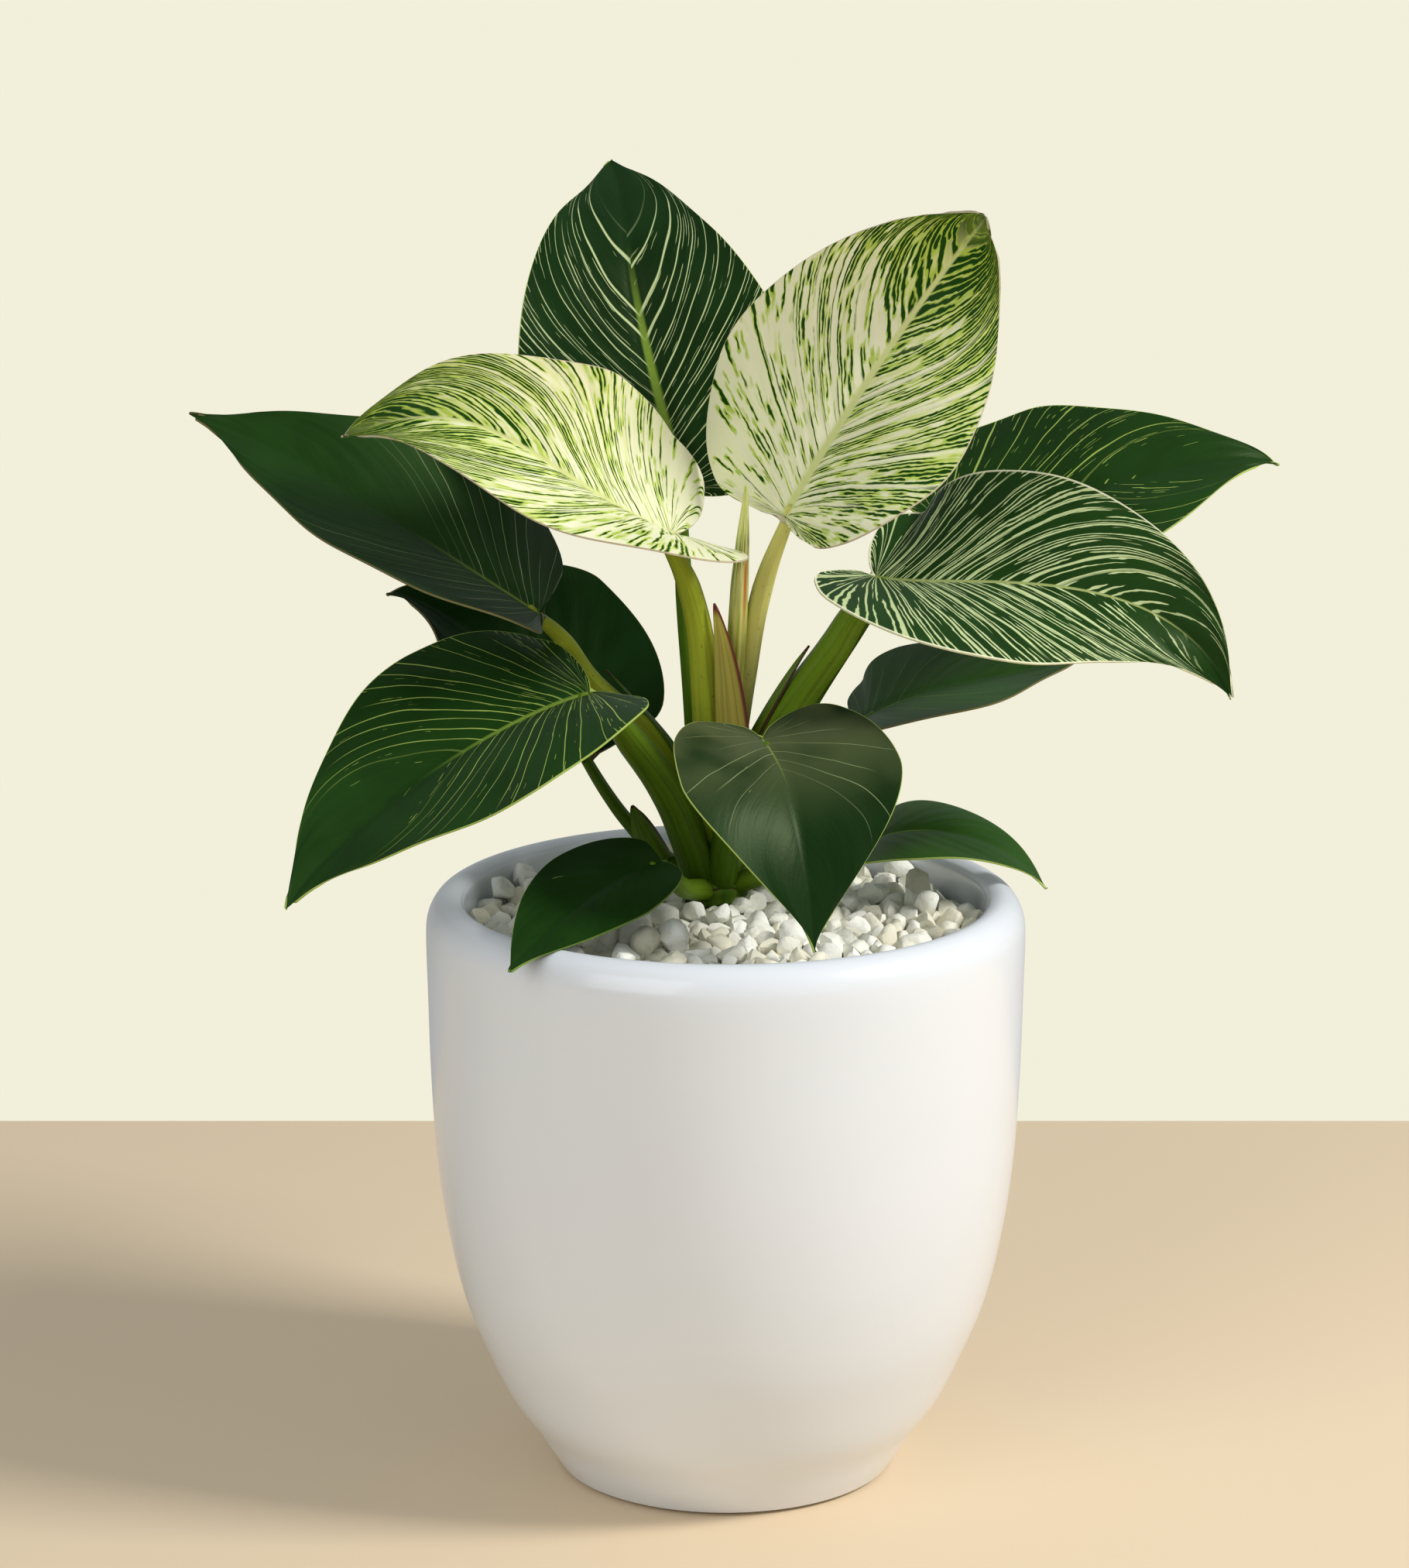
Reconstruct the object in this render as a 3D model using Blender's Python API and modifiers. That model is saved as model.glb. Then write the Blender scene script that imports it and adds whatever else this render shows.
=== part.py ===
"""Philodendron birkin in a white glazed pot, one standing assembly.

Metres, +Z up. The origin is the centre of the pot's foot on the ground, +X points right
and the side meant to be looked at faces -Y.
"""

import math
import random

import bmesh
import bpy
import numpy as np

MM = 0.001

# Driving dimensions, in millimetres unless a name says degrees.
GAP = 0.3
POT_FLOOR = 8.0
POT_STEPS = 40
SOIL_TOP = 157.0
SOIL_DOME = 2.5
SOIL_HOLE_RADIUS = 10.3
SOIL_HOLE_DEPTH = 22.0
SOIL_RADIUS = 73.3
SOIL_BASE_RADIUS = 43.0
GRAVEL_BED = 1.6
GRAVEL_RADIUS = 72.5
GRAVEL_STEPS = 36
CHIP_PITCH = 10.1
CHIP_ROW_PITCH = 0.87 * CHIP_PITCH
CHIP_SHIFT = 1.5
CHIP_SIZE = 8.4
CHIP_SINK = 1.1
CHIP_STEM_GAP = 1.5
CHIP_PETIOLE_GAP = 3.6
CHIP_TOP = 169.0
STEM_CENTRE = (-3.0, 19.0)
STEM_RADIUS = 10.0
STEM_TOP = 176.0
STEM_BOTTOM = SOIL_TOP - SOIL_HOLE_DEPTH + GAP
STEM_TAPER = 1.0
STEM_BEVEL = 2.0
BLADE_MARGIN = 0.75
BLADE_RIB = 1.7
SHEATH_THICKNESS = 0.8
PETIOLE_TIP_RADIUS = 1.6
PETIOLE_TIP_INSET = 2.0
# How far the middle of a petiole's tip lies below the upper face of its blade.
PETIOLE_TIP_DROP = {"a": 3.50, "b": 3.25, "c": 3.72, "d": 3.45, "e": 3.65, "f": 3.30,
                    "g": 3.45, "h": 4.72, "i": 3.15, "j": 3.50, "k": 4.92, "l": 3.55}

# Outer wall of the pot from the foot to the rim, as (radius, height).
POT_OUTER = (
    (43.0, 0.0), (48.6, 1.2), (51.8, 6.3), (55.8, 12.7), (62.6, 22.2), (68.7, 34.9),
    (75.0, 50.7), (79.5, 69.7), (82.6, 91.9), (84.1, 117.2), (84.7, 142.6),
    (85.0, 158.0), (84.4, 163.6), (82.2, 167.6), (79.0, 169.5),
)
# Inner wall from the rim down to the floor, as (radius, height).
POT_INNER = (
    (76.2, 169.2), (74.4, 167.4), (74.0, 162.0), (76.6, 118.0), (75.6, 92.0),
    (70.5, 60.0), (62.0, 36.0), (44.0, 9.5),
)

# One blade each: four control points of the midrib from base to tip, azimuth and
# elevation of the direction its upper face looks along, twist over the length, fold of
# the right and left half, droop of the right and left half, half width, lobe length,
# distance of the widest place from the base, taper towards the tip, lobe lift.
BLADES = {
    "a": (((-52, 5, 249), (-97, 3, 279), (-126, 11, 297), (-151, 20, 303)),
          -99, 76, -28, (9, 11), (1, -18), 42, 1, 30, 1.40, 0.15),
    "b": (((-15, 3, 272), (-55, -24, 295), (-64, -26, 320), (-106, -8, 301)),
          -135, 51, -6, (30, 15), (-28, 13), 35, 12, 20, 1.15, 0.20),
    "c": (((-12, 30, 280), (-32, 30, 352), (-25, 43, 348), (-33, 71, 369)),
          -84, 28, -1, (9, 10), (8, 5), 40, 6, 32, 1.00, 0.15),
    "d": (((16, -3, 278), (48, 5, 332), (68, 5, 355), (70, -18, 362)),
          -140, 23, 58, (14, 6), (3, 2), 44, 3, 28, 1.00, 0.15),
    "e": (((-38, -8, 229), (-61, -24, 227), (-108, -40, 198), (-120, -52, 178)),
          -115, 64, -16, (12, 17), (7, 5), 40, 4, 35, 1.30, 0.15),
    "f": (((10, -26, 220), (18, -45, 214), (21, -57, 201), (24, -61, 168)),
          -68, 31, 2, (13, 12), (13, -4), 32, 6, 21, 1.55, 0.20),
    "g": (((-18, -26, 185), (-36, -36, 183), (-56, -62, 168), (-58, -79, 168)),
          -107, 79, -13, (11, 5), (0, 15), 18, 1, 21, 1.50, 0.15),
    "h": (((40, 15, 179), (49, 10, 189), (80, 11, 186), (92, 12, 167)),
          -89, 77, 7, (7, 4), (4, 16), 20, 3, 16, 1.35, 0.15),
    "i": (((42, 8, 259), (65, -6, 257), (124, -3, 269), (140, -18, 229)),
          -81, 70, 56, (19, 15), (12, 7), 38, 7, 28, 1.20, 0.40),
    "j": (((62, 49, 267), (109, 47, 274), (142, 50, 292), (161, 60, 282)),
          -87, 57, 5, (11, 10), (8, 15), 36, 12, 34, 1.40, 0.15),
    "k": (((40, 39, 211), (55, 36, 222), (78, 47, 219), (109, 55, 228)),
          -92, 83, 5, (12, 10), (6, 6), 30, 5, 20, 1.45, 0.10),
    "l": (((-40, 38, 200), (-52, 48, 215), (-84, 53, 247), (-98, 43, 247)),
          -82, 57, 2, (19, 21), (-6, 6), 39, 2, 34, 1.65, 0.15),
}

# One petiole each, from the stem outwards, as (x, y, z, radius). The last point is worked
# out from the blade, just below its base. Younger petioles come first.
PETIOLES = {
    "d": ((-2, 20, 172, 3.8), (1, 20, 196, 3.6), (5.2, 17, 225, 3.1), (10.3, 9, 255, 2.9)),
    "b": ((-5, 17, 172, 4.4), (-5, 13, 198, 4.6), (-5.5, 10, 223, 4.3), (-10.4, 5, 256, 3.3)),
    "c": ((-6, 23, 172, 3.2), (-8, 25, 196, 3.0), (-9.4, 27, 219, 2.9), (-11.8, 29, 250, 2.6)),
    "i": ((-1, 18, 172, 5.0), (9, 15, 203, 5.2), (21, 12, 224, 4.9), (30.5, 10, 238, 4.6),
          (36.5, 9, 248, 4.0)),
    "j": ((3, 23, 172, 3.0), (17, 29, 205, 3.0), (36, 38, 235, 2.7), (52, 46, 256, 2.3)),
    "e": ((-7, 15, 170, 5.2), (-10.6, 9, 183, 5.2), (-16.2, 4, 197.5, 5.0),
          (-26, -2, 213, 4.3), (-33, -6, 222.5, 3.2)),
    "a": ((-8, 23, 172, 3.2), (-13, 20, 195, 3.2), (-21, 16.5, 211, 3.0),
          (-38.5, 15, 228, 2.7), (-45.5, 14.5, 238.5, 2.4)),
    "f": ((-1, 13, 170, 4.4), (1, 6, 184, 4.4), (5, -6, 200, 3.6), (8.5, -17, 211.5, 2.5)),
    "k": ((1, 23, 170, 2.8), (12, 28, 185, 2.6), (26, 34, 198, 2.4), (35, 37, 206, 2.0)),
    "l": ((-8, 21, 169, 2.6), (-18, 23.5, 173, 2.3), (-29, 28, 180, 2.0),
          (-36.5, 34, 188.6, 1.9)),
    "g": ((-6, 14, 166, 3.4), (-8, 5, 168.5, 3.2), (-12, -8, 172.5, 2.8),
          (-15.5, -18, 178.5, 2.3)),
    "h": ((1, 16, 167, 3.2), (8, 13, 170, 3.0), (15, 12.5, 172.5, 2.6),
          (27, 13.5, 173.5, 2.2), (34, 14.5, 173.5, 1.9)),
}

# The rolled new leaf, as (x, y, z, radius).
SPEAR = ((-0.5, 16, 172, 3.0), (0.8, 13, 205, 3.0), (2.8, 10.5, 233, 2.9),
         (3.9, 6, 256, 2.6), (4.7, 1, 270, 1.9), (5.6, -3, 286, 0.5))

# Sheaths: control points of the axis as (x, y, z, radius), start and end angle in degrees
# seen from above, counted from +X.
SHEATHS = {
    "b": (((3, 9, 192, 5.2), (2.4, 8.5, 214, 5.0), (0.5, 7.5, 236, 4.2), (-3.4, 6.5, 252, 3.0)),
          (-155, -20)),
    "i": (((5, 17, 192, 6.2), (12, 14.5, 209, 6.2), (20, 12.5, 223, 6.0), (28, 11, 236, 5.4)),
          (165, 228)),
    "a": (((-12, 21, 192, 4.6), (-17, 18.5, 207, 4.6), (-25, 16.5, 214, 4.4),
           (-37, 15.3, 227.5, 4.0)), (-40, 60)),
    "l": (((-19, 20.9, 172, 4.0), (-22.5, 22.9, 178, 4.0), (-25.5, 25.4, 183, 3.4),
           (-27.3, 26.9, 187.5, 2.6)), (-150, -10)),
}

CREAM_BLADES = ("b", "d")
COLOURS = {
    "pot": (0.86, 0.86, 0.84, 1.0),
    "soil": (0.05, 0.035, 0.025, 1.0),
    "gravel": (0.80, 0.79, 0.72, 1.0),
    "stem": (0.12, 0.20, 0.03, 1.0),
    "blade": (0.02, 0.09, 0.02, 1.0),
    "cream": (0.66, 0.70, 0.40, 1.0),
    "petiole": (0.27, 0.33, 0.05, 1.0),
    "sheath": (0.40, 0.34, 0.14, 1.0),
}


def material(name, colour, roughness):
    """Own Principled material for one node."""
    mat = bpy.data.materials.new(name)
    mat.use_nodes = True
    shader = mat.node_tree.nodes["Principled BSDF"]
    shader.inputs["Base Color"].default_value = colour
    shader.inputs["Roughness"].default_value = roughness
    mat.diffuse_color = colour
    return mat


def move_to(obj, collection):
    """Keep an object in one collection only."""
    for other in list(obj.users_collection):
        other.objects.unlink(obj)
    collection.objects.link(obj)


def make_active(obj):
    """Select one object alone."""
    bpy.ops.object.select_all(action="DESELECT")
    obj.select_set(True)
    bpy.context.view_layer.objects.active = obj


def apply_modifier(obj, name):
    """Apply one modifier by name."""
    make_active(obj)
    bpy.ops.object.modifier_apply(modifier=name)


def merge_points(obj, distance=0.00002):
    """Join doubled points of a mesh and make its normals point outward."""
    bm = bmesh.new()
    bm.from_mesh(obj.data)
    bmesh.ops.remove_doubles(bm, verts=bm.verts, dist=distance)
    bmesh.ops.dissolve_degenerate(bm, edges=bm.edges, dist=distance * 0.5)
    bmesh.ops.recalc_face_normals(bm, faces=bm.faces)
    bm.to_mesh(obj.data)
    bm.free()


def keep_largest_body(obj):
    """Drop loose offcuts that a Boolean cut has left, keeping the largest body."""
    bm = bmesh.new()
    bm.from_mesh(obj.data)
    left = set(bm.verts)
    bodies = []
    while left:
        start = left.pop()
        body = {start}
        queue = [start]
        while queue:
            vert = queue.pop()
            for edge in vert.link_edges:
                other = edge.other_vert(vert)
                if other not in body:
                    body.add(other)
                    queue.append(other)
        left -= body
        bodies.append(body)
    bodies.sort(key=len, reverse=True)
    for body in bodies[1:]:
        bmesh.ops.delete(bm, geom=list(body), context="VERTS")
    bm.to_mesh(obj.data)
    bm.free()


def cut(obj, cutter, solver="EXACT"):
    """Boolean difference, applied."""
    mod = obj.modifiers.new("cut", "BOOLEAN")
    mod.operation = "DIFFERENCE"
    mod.solver = solver
    mod.object = cutter
    apply_modifier(obj, "cut")


def finish_node(obj, name, colour, roughness, parts):
    """Name a node, give it its own material and file it with the parts."""
    obj.name = name
    obj.data.name = name
    obj.data.materials.clear()
    obj.data.materials.append(material(name, colour, roughness))
    move_to(obj, parts)
    return obj


def turned(name, profile, steps):
    """Turn a closed profile of (radius, height) about the Z axis with a Screw modifier."""
    bpy.ops.mesh.primitive_plane_add(size=1.0, location=(0.0, 0.0, 0.0))
    obj = bpy.context.object
    obj.name = name
    bm = bmesh.new()
    verts = [bm.verts.new((r * MM, 0.0, z * MM)) for r, z in profile]
    for a, b in zip(verts, verts[1:]):
        bm.edges.new((a, b))
    bm.to_mesh(obj.data)
    bm.free()
    screw = obj.modifiers.new("turn", "SCREW")
    screw.axis = "Z"
    screw.angle = math.tau
    screw.steps = steps
    screw.render_steps = steps
    screw.use_merge_vertices = True
    screw.merge_threshold = 0.00001
    apply_modifier(obj, "turn")
    merge_points(obj)
    return obj


def bezier(points, t):
    """Point on a cubic Bezier curve for an array of parameters."""
    t = np.asarray(t, float)[:, None]
    p = np.asarray(points, float)
    return ((1 - t) ** 3 * p[0] + 3 * (1 - t) ** 2 * t * p[1]
            + 3 * (1 - t) * t * t * p[2] + t ** 3 * p[3])


class Midrib:
    """Midrib of a blade with a frame that turns along it."""

    def __init__(self, points, azimuth, elevation, twist):
        steps = np.linspace(0.0, 1.0, 49)
        self.points = bezier(points, steps)
        lengths = np.linalg.norm(np.diff(self.points, axis=0), axis=1)
        self.along = np.concatenate([[0.0], np.cumsum(lengths)])
        self.length = float(self.along[-1])
        slope = np.gradient(self.points, axis=0)
        self.slope = slope / np.linalg.norm(slope, axis=1)[:, None]
        az = math.radians(azimuth)
        el = math.radians(elevation)
        self.facing = np.array([math.cos(el) * math.cos(az), math.cos(el) * math.sin(az),
                                math.sin(el)])
        self.twist = math.radians(twist)

    def frame(self, u):
        """Point, tangent, upper-face normal and right-hand side at a distance u."""
        clipped = min(max(u, 0.0), self.length)
        point = np.array([np.interp(clipped, self.along, self.points[:, k])
                          for k in range(3)])
        tangent = np.array([np.interp(clipped, self.along, self.slope[:, k])
                            for k in range(3)])
        tangent /= np.linalg.norm(tangent)
        point = point + tangent * (u - clipped)
        normal = self.facing - tangent * float(tangent @ self.facing)
        normal /= np.linalg.norm(normal)
        side = np.cross(tangent, normal)
        turn = self.twist * clipped / self.length
        normal_turned = normal * math.cos(turn) + side * math.sin(turn)
        side_turned = side * math.cos(turn) - normal * math.sin(turn)
        return point, tangent, normal_turned, side_turned


class Blade:
    """Shape of one blade, from its row of driving dimensions."""

    def __init__(self, row):
        (points, azimuth, elevation, twist, self.fold, self.droop, self.half_width,
         self.lobe, self.widest, self.taper, self.lift) = row
        self.rib = Midrib(points, azimuth, elevation, twist)

    def margin(self, tau):
        """Flat margin point (along, across) for tau from 0 at the sinus to 3 at the tip."""
        lobe, wide, half = self.lobe, self.widest, self.half_width
        if tau <= 1.0:
            ctrl = ((0, 0), (-0.7 * lobe, 0.06 * half), (-lobe, 0.25 * half),
                    (-lobe, 0.5 * half))
            return bezier(ctrl, [tau])[0]
        if tau <= 2.0:
            ctrl = ((-lobe, 0.5 * half), (-lobe, 0.79 * half),
                    (wide - 0.55 * (wide + lobe), half), (wide, half))
            return bezier(ctrl, [tau - 1.0])[0]
        x = min(tau - 2.0, 1.0)
        return np.array([wide + (self.rib.length - wide) * x,
                         half * max(1.0 - x ** 1.6, 0.0) ** self.taper])

    def place(self, u, v, side):
        """Point of the bent blade for a flat point, side +1 right and -1 left."""
        point, _, normal, right = self.rib.frame(u)
        k = 0 if side > 0 else 1
        angle = math.radians(self.fold[k]) - math.radians(self.droop[k]) * v / (
            2.0 * self.half_width)
        rise = v * math.sin(angle) + (self.lift * -u if u < 0.0 else 0.0)
        return point + right * (side * v * math.cos(angle)) + normal * rise


# Margin rows of the blade grid, from the sinus round the lobe to the tip.
MARGIN_ROWS = (0.0, 0.4, 0.8, 1.15, 1.5, 1.76, 2.0, 2.12, 2.24, 2.36, 2.48, 2.59, 2.7, 2.8,
               2.9, 3.0)
# Places of the columns along a vein, from the midrib out to the margin.
VEIN_COLUMNS = (0.0, 0.36, 0.70, 1.0)


def vein_point(margin_u, margin_v, f):
    """Flat point on the lateral vein that ends at a margin point."""
    foot = max(0.0, margin_u - 0.62 * margin_v)
    ctrl_u = foot + 0.2 * (margin_u - foot)
    ctrl_v = 0.55 * margin_v
    u = (1 - f) ** 2 * foot + 2 * (1 - f) * f * ctrl_u + f * f * margin_u
    v = 2 * (1 - f) * f * ctrl_v + f * f * margin_v
    return u, v


def blade_mesh(name, blade):
    """Blade from a grid laid along its lateral veins, thickened towards its underside."""
    rows = len(MARGIN_ROWS)
    cols = 2 * len(VEIN_COLUMNS) - 1
    bpy.ops.mesh.primitive_grid_add(x_subdivisions=rows - 1, y_subdivisions=cols - 1, size=2.0)
    obj = bpy.context.object
    obj.name = name
    mesh = obj.data
    group = obj.vertex_groups.new(name="rib")
    ribs = []
    half = len(VEIN_COLUMNS) - 1
    for vert in mesh.vertices:
        i = int(round((vert.co.x + 1.0) * 0.5 * (rows - 1)))
        j = int(round((vert.co.y + 1.0) * 0.5 * (cols - 1))) - half
        margin_u, margin_v = blade.margin(MARGIN_ROWS[i])
        u, v = vein_point(margin_u, margin_v, VEIN_COLUMNS[abs(j)])
        if i == 0:
            u, v = 0.0, 0.0
        if i == rows - 1:
            u, v = blade.rib.length, 0.0
        side = 1 if j < 0 else -1
        vert.co = [float(c) * MM for c in blade.place(u, v, side)]
        if v < 1e-6 and u < blade.rib.length * 0.9:
            ribs.append(vert.index)
    group.add(ribs, 1.0, "REPLACE")
    bm = bmesh.new()
    bm.from_mesh(mesh)
    bmesh.ops.remove_doubles(bm, verts=bm.verts, dist=0.00002)
    bmesh.ops.triangulate(bm, faces=bm.faces)
    bm.to_mesh(mesh)
    bm.free()
    solid = obj.modifiers.new("thickness", "SOLIDIFY")
    solid.thickness = BLADE_RIB * MM
    solid.offset = -1.0
    solid.use_rim = True
    solid.use_even_offset = False
    solid.vertex_group = "rib"
    solid.thickness_vertex_group = BLADE_MARGIN / BLADE_RIB
    apply_modifier(obj, "thickness")
    obj.vertex_groups.clear()
    merge_points(obj, 0.00001)
    return obj


def tube_mesh(name, points, grow=0.0, resolution=3, ring=2):
    """Tube along points (x, y, z, radius), as a bevelled curve turned into a mesh."""
    bpy.ops.curve.primitive_bezier_curve_add(location=(0.0, 0.0, 0.0))
    curve_obj = bpy.context.object
    curve = curve_obj.data
    spline = curve.splines[0]
    spline.bezier_points.add(len(points) - len(spline.bezier_points))
    for bez, (x, y, z, radius) in zip(spline.bezier_points, points):
        bez.co = (x * MM, y * MM, z * MM)
        bez.handle_left_type = "AUTO"
        bez.handle_right_type = "AUTO"
        bez.radius = radius + grow
    curve.dimensions = "3D"
    curve.twist_mode = "MINIMUM"
    curve.resolution_u = resolution
    curve.render_resolution_u = resolution
    curve.bevel_depth = MM
    curve.bevel_resolution = ring
    curve.use_fill_caps = True
    depsgraph = bpy.context.evaluated_depsgraph_get()
    mesh = bpy.data.meshes.new_from_object(curve_obj.evaluated_get(depsgraph))
    obj = bpy.data.objects.new(name, mesh)
    bpy.context.scene.collection.objects.link(obj)
    bpy.data.objects.remove(curve_obj, do_unlink=True)
    merge_points(obj)
    return obj


def petiole_points(key, blades):
    """Points of a petiole, ended just below the base of its blade."""
    points = [tuple(float(c) for c in p) for p in PETIOLES[key]]
    blade = blades[key]
    point, tangent, normal, _ = blade.rib.frame(0.0)
    end = point - normal * PETIOLE_TIP_DROP[key] + tangent * PETIOLE_TIP_INSET
    points.append((float(end[0]), float(end[1]), float(end[2]), PETIOLE_TIP_RADIUS))
    return points


def sheath_mesh(name, axis, angles):
    """Pointed shell that wraps part of the way round an axis."""
    rows, cols = 8, 6
    bpy.ops.mesh.primitive_grid_add(x_subdivisions=cols, y_subdivisions=rows, size=2.0)
    obj = bpy.context.object
    obj.name = name
    knots = np.array(axis, float)
    middle = 0.5 * (angles[0] + angles[1])
    reach = 0.5 * (angles[1] - angles[0])
    for vert in obj.data.vertices:
        f = (vert.co.y + 1.0) * 0.5
        g = vert.co.x
        centre = bezier(knots, [f])[0]
        ahead = bezier(knots, [f + 0.01])[0] - bezier(knots, [f - 0.01])[0]
        along = ahead[:3] / np.linalg.norm(ahead[:3])
        first = np.array([1.0, 0.0, 0.0]) - along * along[0]
        first /= np.linalg.norm(first)
        second = np.cross(along, first)
        narrow = max(1.0 - f ** 2.2, 0.0) ** 0.75
        angle = math.radians(middle + reach * g * max(narrow, 0.04))
        point = centre[:3] + centre[3] * (first * math.cos(angle) + second * math.sin(angle))
        vert.co = [float(c) * MM for c in point]
    bm = bmesh.new()
    bm.from_mesh(obj.data)
    bmesh.ops.triangulate(bm, faces=bm.faces)
    bm.to_mesh(obj.data)
    bm.free()
    solid = obj.modifiers.new("thickness", "SOLIDIFY")
    solid.thickness = SHEATH_THICKNESS * MM
    solid.offset = 0.0
    solid.use_rim = True
    apply_modifier(obj, "thickness")
    merge_points(obj, 0.00001)
    return obj


def chip(seed, x, y, z, size, lowest):
    """One angular stone chip with twelve triangles, its root kept above a level."""
    rng = random.Random(seed)
    bpy.ops.mesh.primitive_cube_add(size=1.0, location=(0.0, 0.0, 0.0))
    obj = bpy.context.object
    sx = size * rng.uniform(0.82, 1.12)
    sy = size * rng.uniform(0.72, 1.0)
    sz = size * rng.uniform(0.55, 0.8)
    spin = rng.uniform(0.0, math.tau)
    lean = rng.uniform(-0.45, 0.45)
    roll = rng.uniform(-0.45, 0.45)
    for vert in obj.data.vertices:
        px = vert.co.x * sx * rng.uniform(0.62, 1.0)
        py = vert.co.y * sy * rng.uniform(0.62, 1.0)
        pz = vert.co.z * sz * rng.uniform(0.7, 1.0)
        py, pz = (py * math.cos(lean) - pz * math.sin(lean),
                  py * math.sin(lean) + pz * math.cos(lean))
        px, pz = (px * math.cos(roll) + pz * math.sin(roll),
                  -px * math.sin(roll) + pz * math.cos(roll))
        px, py = (px * math.cos(spin) - py * math.sin(spin),
                  px * math.sin(spin) + py * math.cos(spin))
        vert.co = ((x + px) * MM, (y + py) * MM, max(z + pz, lowest) * MM)
    bm = bmesh.new()
    bm.from_mesh(obj.data)
    bmesh.ops.triangulate(bm, faces=bm.faces)
    bm.to_mesh(obj.data)
    bm.free()
    return obj


def soil_level(radius):
    """Height of the domed soil at a distance from the pot's axis."""
    return SOIL_TOP + SOIL_DOME * (1.0 - (radius / SOIL_RADIUS) ** 2)


def near_petiole(x, y):
    """True where a low petiole passes over the soil too closely for a chip."""
    for key in ("g", "h", "f", "e"):
        for a, b in zip(PETIOLES[key], PETIOLES[key][1:]):
            for f in (0.0, 0.25, 0.5, 0.75, 1.0):
                px = a[0] + (b[0] - a[0]) * f
                py = a[1] + (b[1] - a[1]) * f
                under = a[2] + (b[2] - a[2]) * f - a[3]
                if math.hypot(x - px, y - py) < CHIP_PETIOLE_GAP + a[3] and under < CHIP_TOP:
                    return True
    return False


def gravel_body():
    """Thin bed with seeded chips sunk into it, fused into one body."""
    inner = SOIL_HOLE_RADIUS + CHIP_STEM_GAP
    cx, cy = STEM_CENTRE
    rings = (0.0, 30.0, 55.0, GRAVEL_RADIUS)
    top = [(r, soil_level(r) + GAP + GRAVEL_BED) for r in rings]
    under = [(r, soil_level(r) + GAP) for r in reversed(rings)]
    bed = turned("gravel", top + under, GRAVEL_STEPS)
    bpy.ops.mesh.primitive_cylinder_add(vertices=20, radius=inner * MM, depth=20 * MM,
                                        location=(cx * MM, cy * MM, soil_level(0.0) * MM))
    core = bpy.context.object
    bpy.ops.object.transform_apply(location=True, rotation=True, scale=True)
    cut(bed, core)
    bpy.data.objects.remove(core, do_unlink=True)
    chips = bpy.data.collections.new("chips")
    bpy.context.scene.collection.children.link(chips)
    rng = random.Random(41)
    reach = int(GRAVEL_RADIUS / CHIP_ROW_PITCH) + 2
    for row in range(-reach, reach):
        for col in range(-reach, reach):
            x = (col + 0.5 * (row % 2)) * CHIP_PITCH + rng.uniform(-CHIP_SHIFT, CHIP_SHIFT)
            y = row * CHIP_ROW_PITCH + rng.uniform(-CHIP_SHIFT, CHIP_SHIFT)
            size = CHIP_SIZE * rng.uniform(0.82, 1.15)
            floor = soil_level(math.hypot(x, y)) + GAP
            z = floor + GRAVEL_BED + size * 0.34 - CHIP_SINK + rng.uniform(-0.3, 1.1)
            seed = rng.randrange(1 << 30)
            if math.hypot(x, y) + size * 0.62 > GRAVEL_RADIUS - 0.4:
                continue
            if math.hypot(x - cx, y - cy) - size * 0.55 < inner:
                continue
            if near_petiole(x, y):
                continue
            stone = chip(seed, x, y, z, size, floor + 0.5 + rng.uniform(0.0, 0.6))
            move_to(stone, chips)
    mod = bed.modifiers.new("fuse", "BOOLEAN")
    mod.operation = "UNION"
    mod.operand_type = "COLLECTION"
    mod.collection = chips
    mod.solver = "MANIFOLD"
    apply_modifier(bed, "fuse")
    for obj in list(chips.objects):
        bpy.data.objects.remove(obj, do_unlink=True)
    bpy.data.collections.remove(chips)
    merge_points(bed, 0.0000002)
    keep_largest_body(bed)
    return bed


def pot_body():
    """The pot: one turned wall with a closed floor and a rounded rim."""
    profile = [(0.0, 0.0)] + list(POT_OUTER) + list(POT_INNER) + [(0.0, POT_FLOOR)]
    return turned("pot", profile[::-1], POT_STEPS)


def soil_body(hole):
    """The domed soil plug, clear of the pot's inner wall, with a hole for the stem."""
    wall = [(r - 2.0 * GAP, z) for r, z in POT_INNER if z < SOIL_TOP][:-1]
    crown = [(r, soil_level(r)) for r in (0.0, 30.0, 55.0, GRAVEL_RADIUS, SOIL_RADIUS)]
    base = [(SOIL_BASE_RADIUS, POT_FLOOR + 1.5 + GAP), (0.0, POT_FLOOR + GAP)]
    soil = turned("soil", crown + wall + base, POT_STEPS)
    cut(soil, hole)
    merge_points(soil, 0.00001)
    return soil


def hole_cutter():
    """Cylinder that cuts the stem's hole in the soil."""
    bpy.ops.mesh.primitive_cylinder_add(
        vertices=24, radius=SOIL_HOLE_RADIUS * MM, depth=2 * SOIL_HOLE_DEPTH * MM,
        location=(STEM_CENTRE[0] * MM, STEM_CENTRE[1] * MM, SOIL_TOP * MM))
    hole = bpy.context.object
    bpy.ops.object.transform_apply(location=True, rotation=True, scale=True)
    hole.name = "stem_hole"
    return hole


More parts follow.
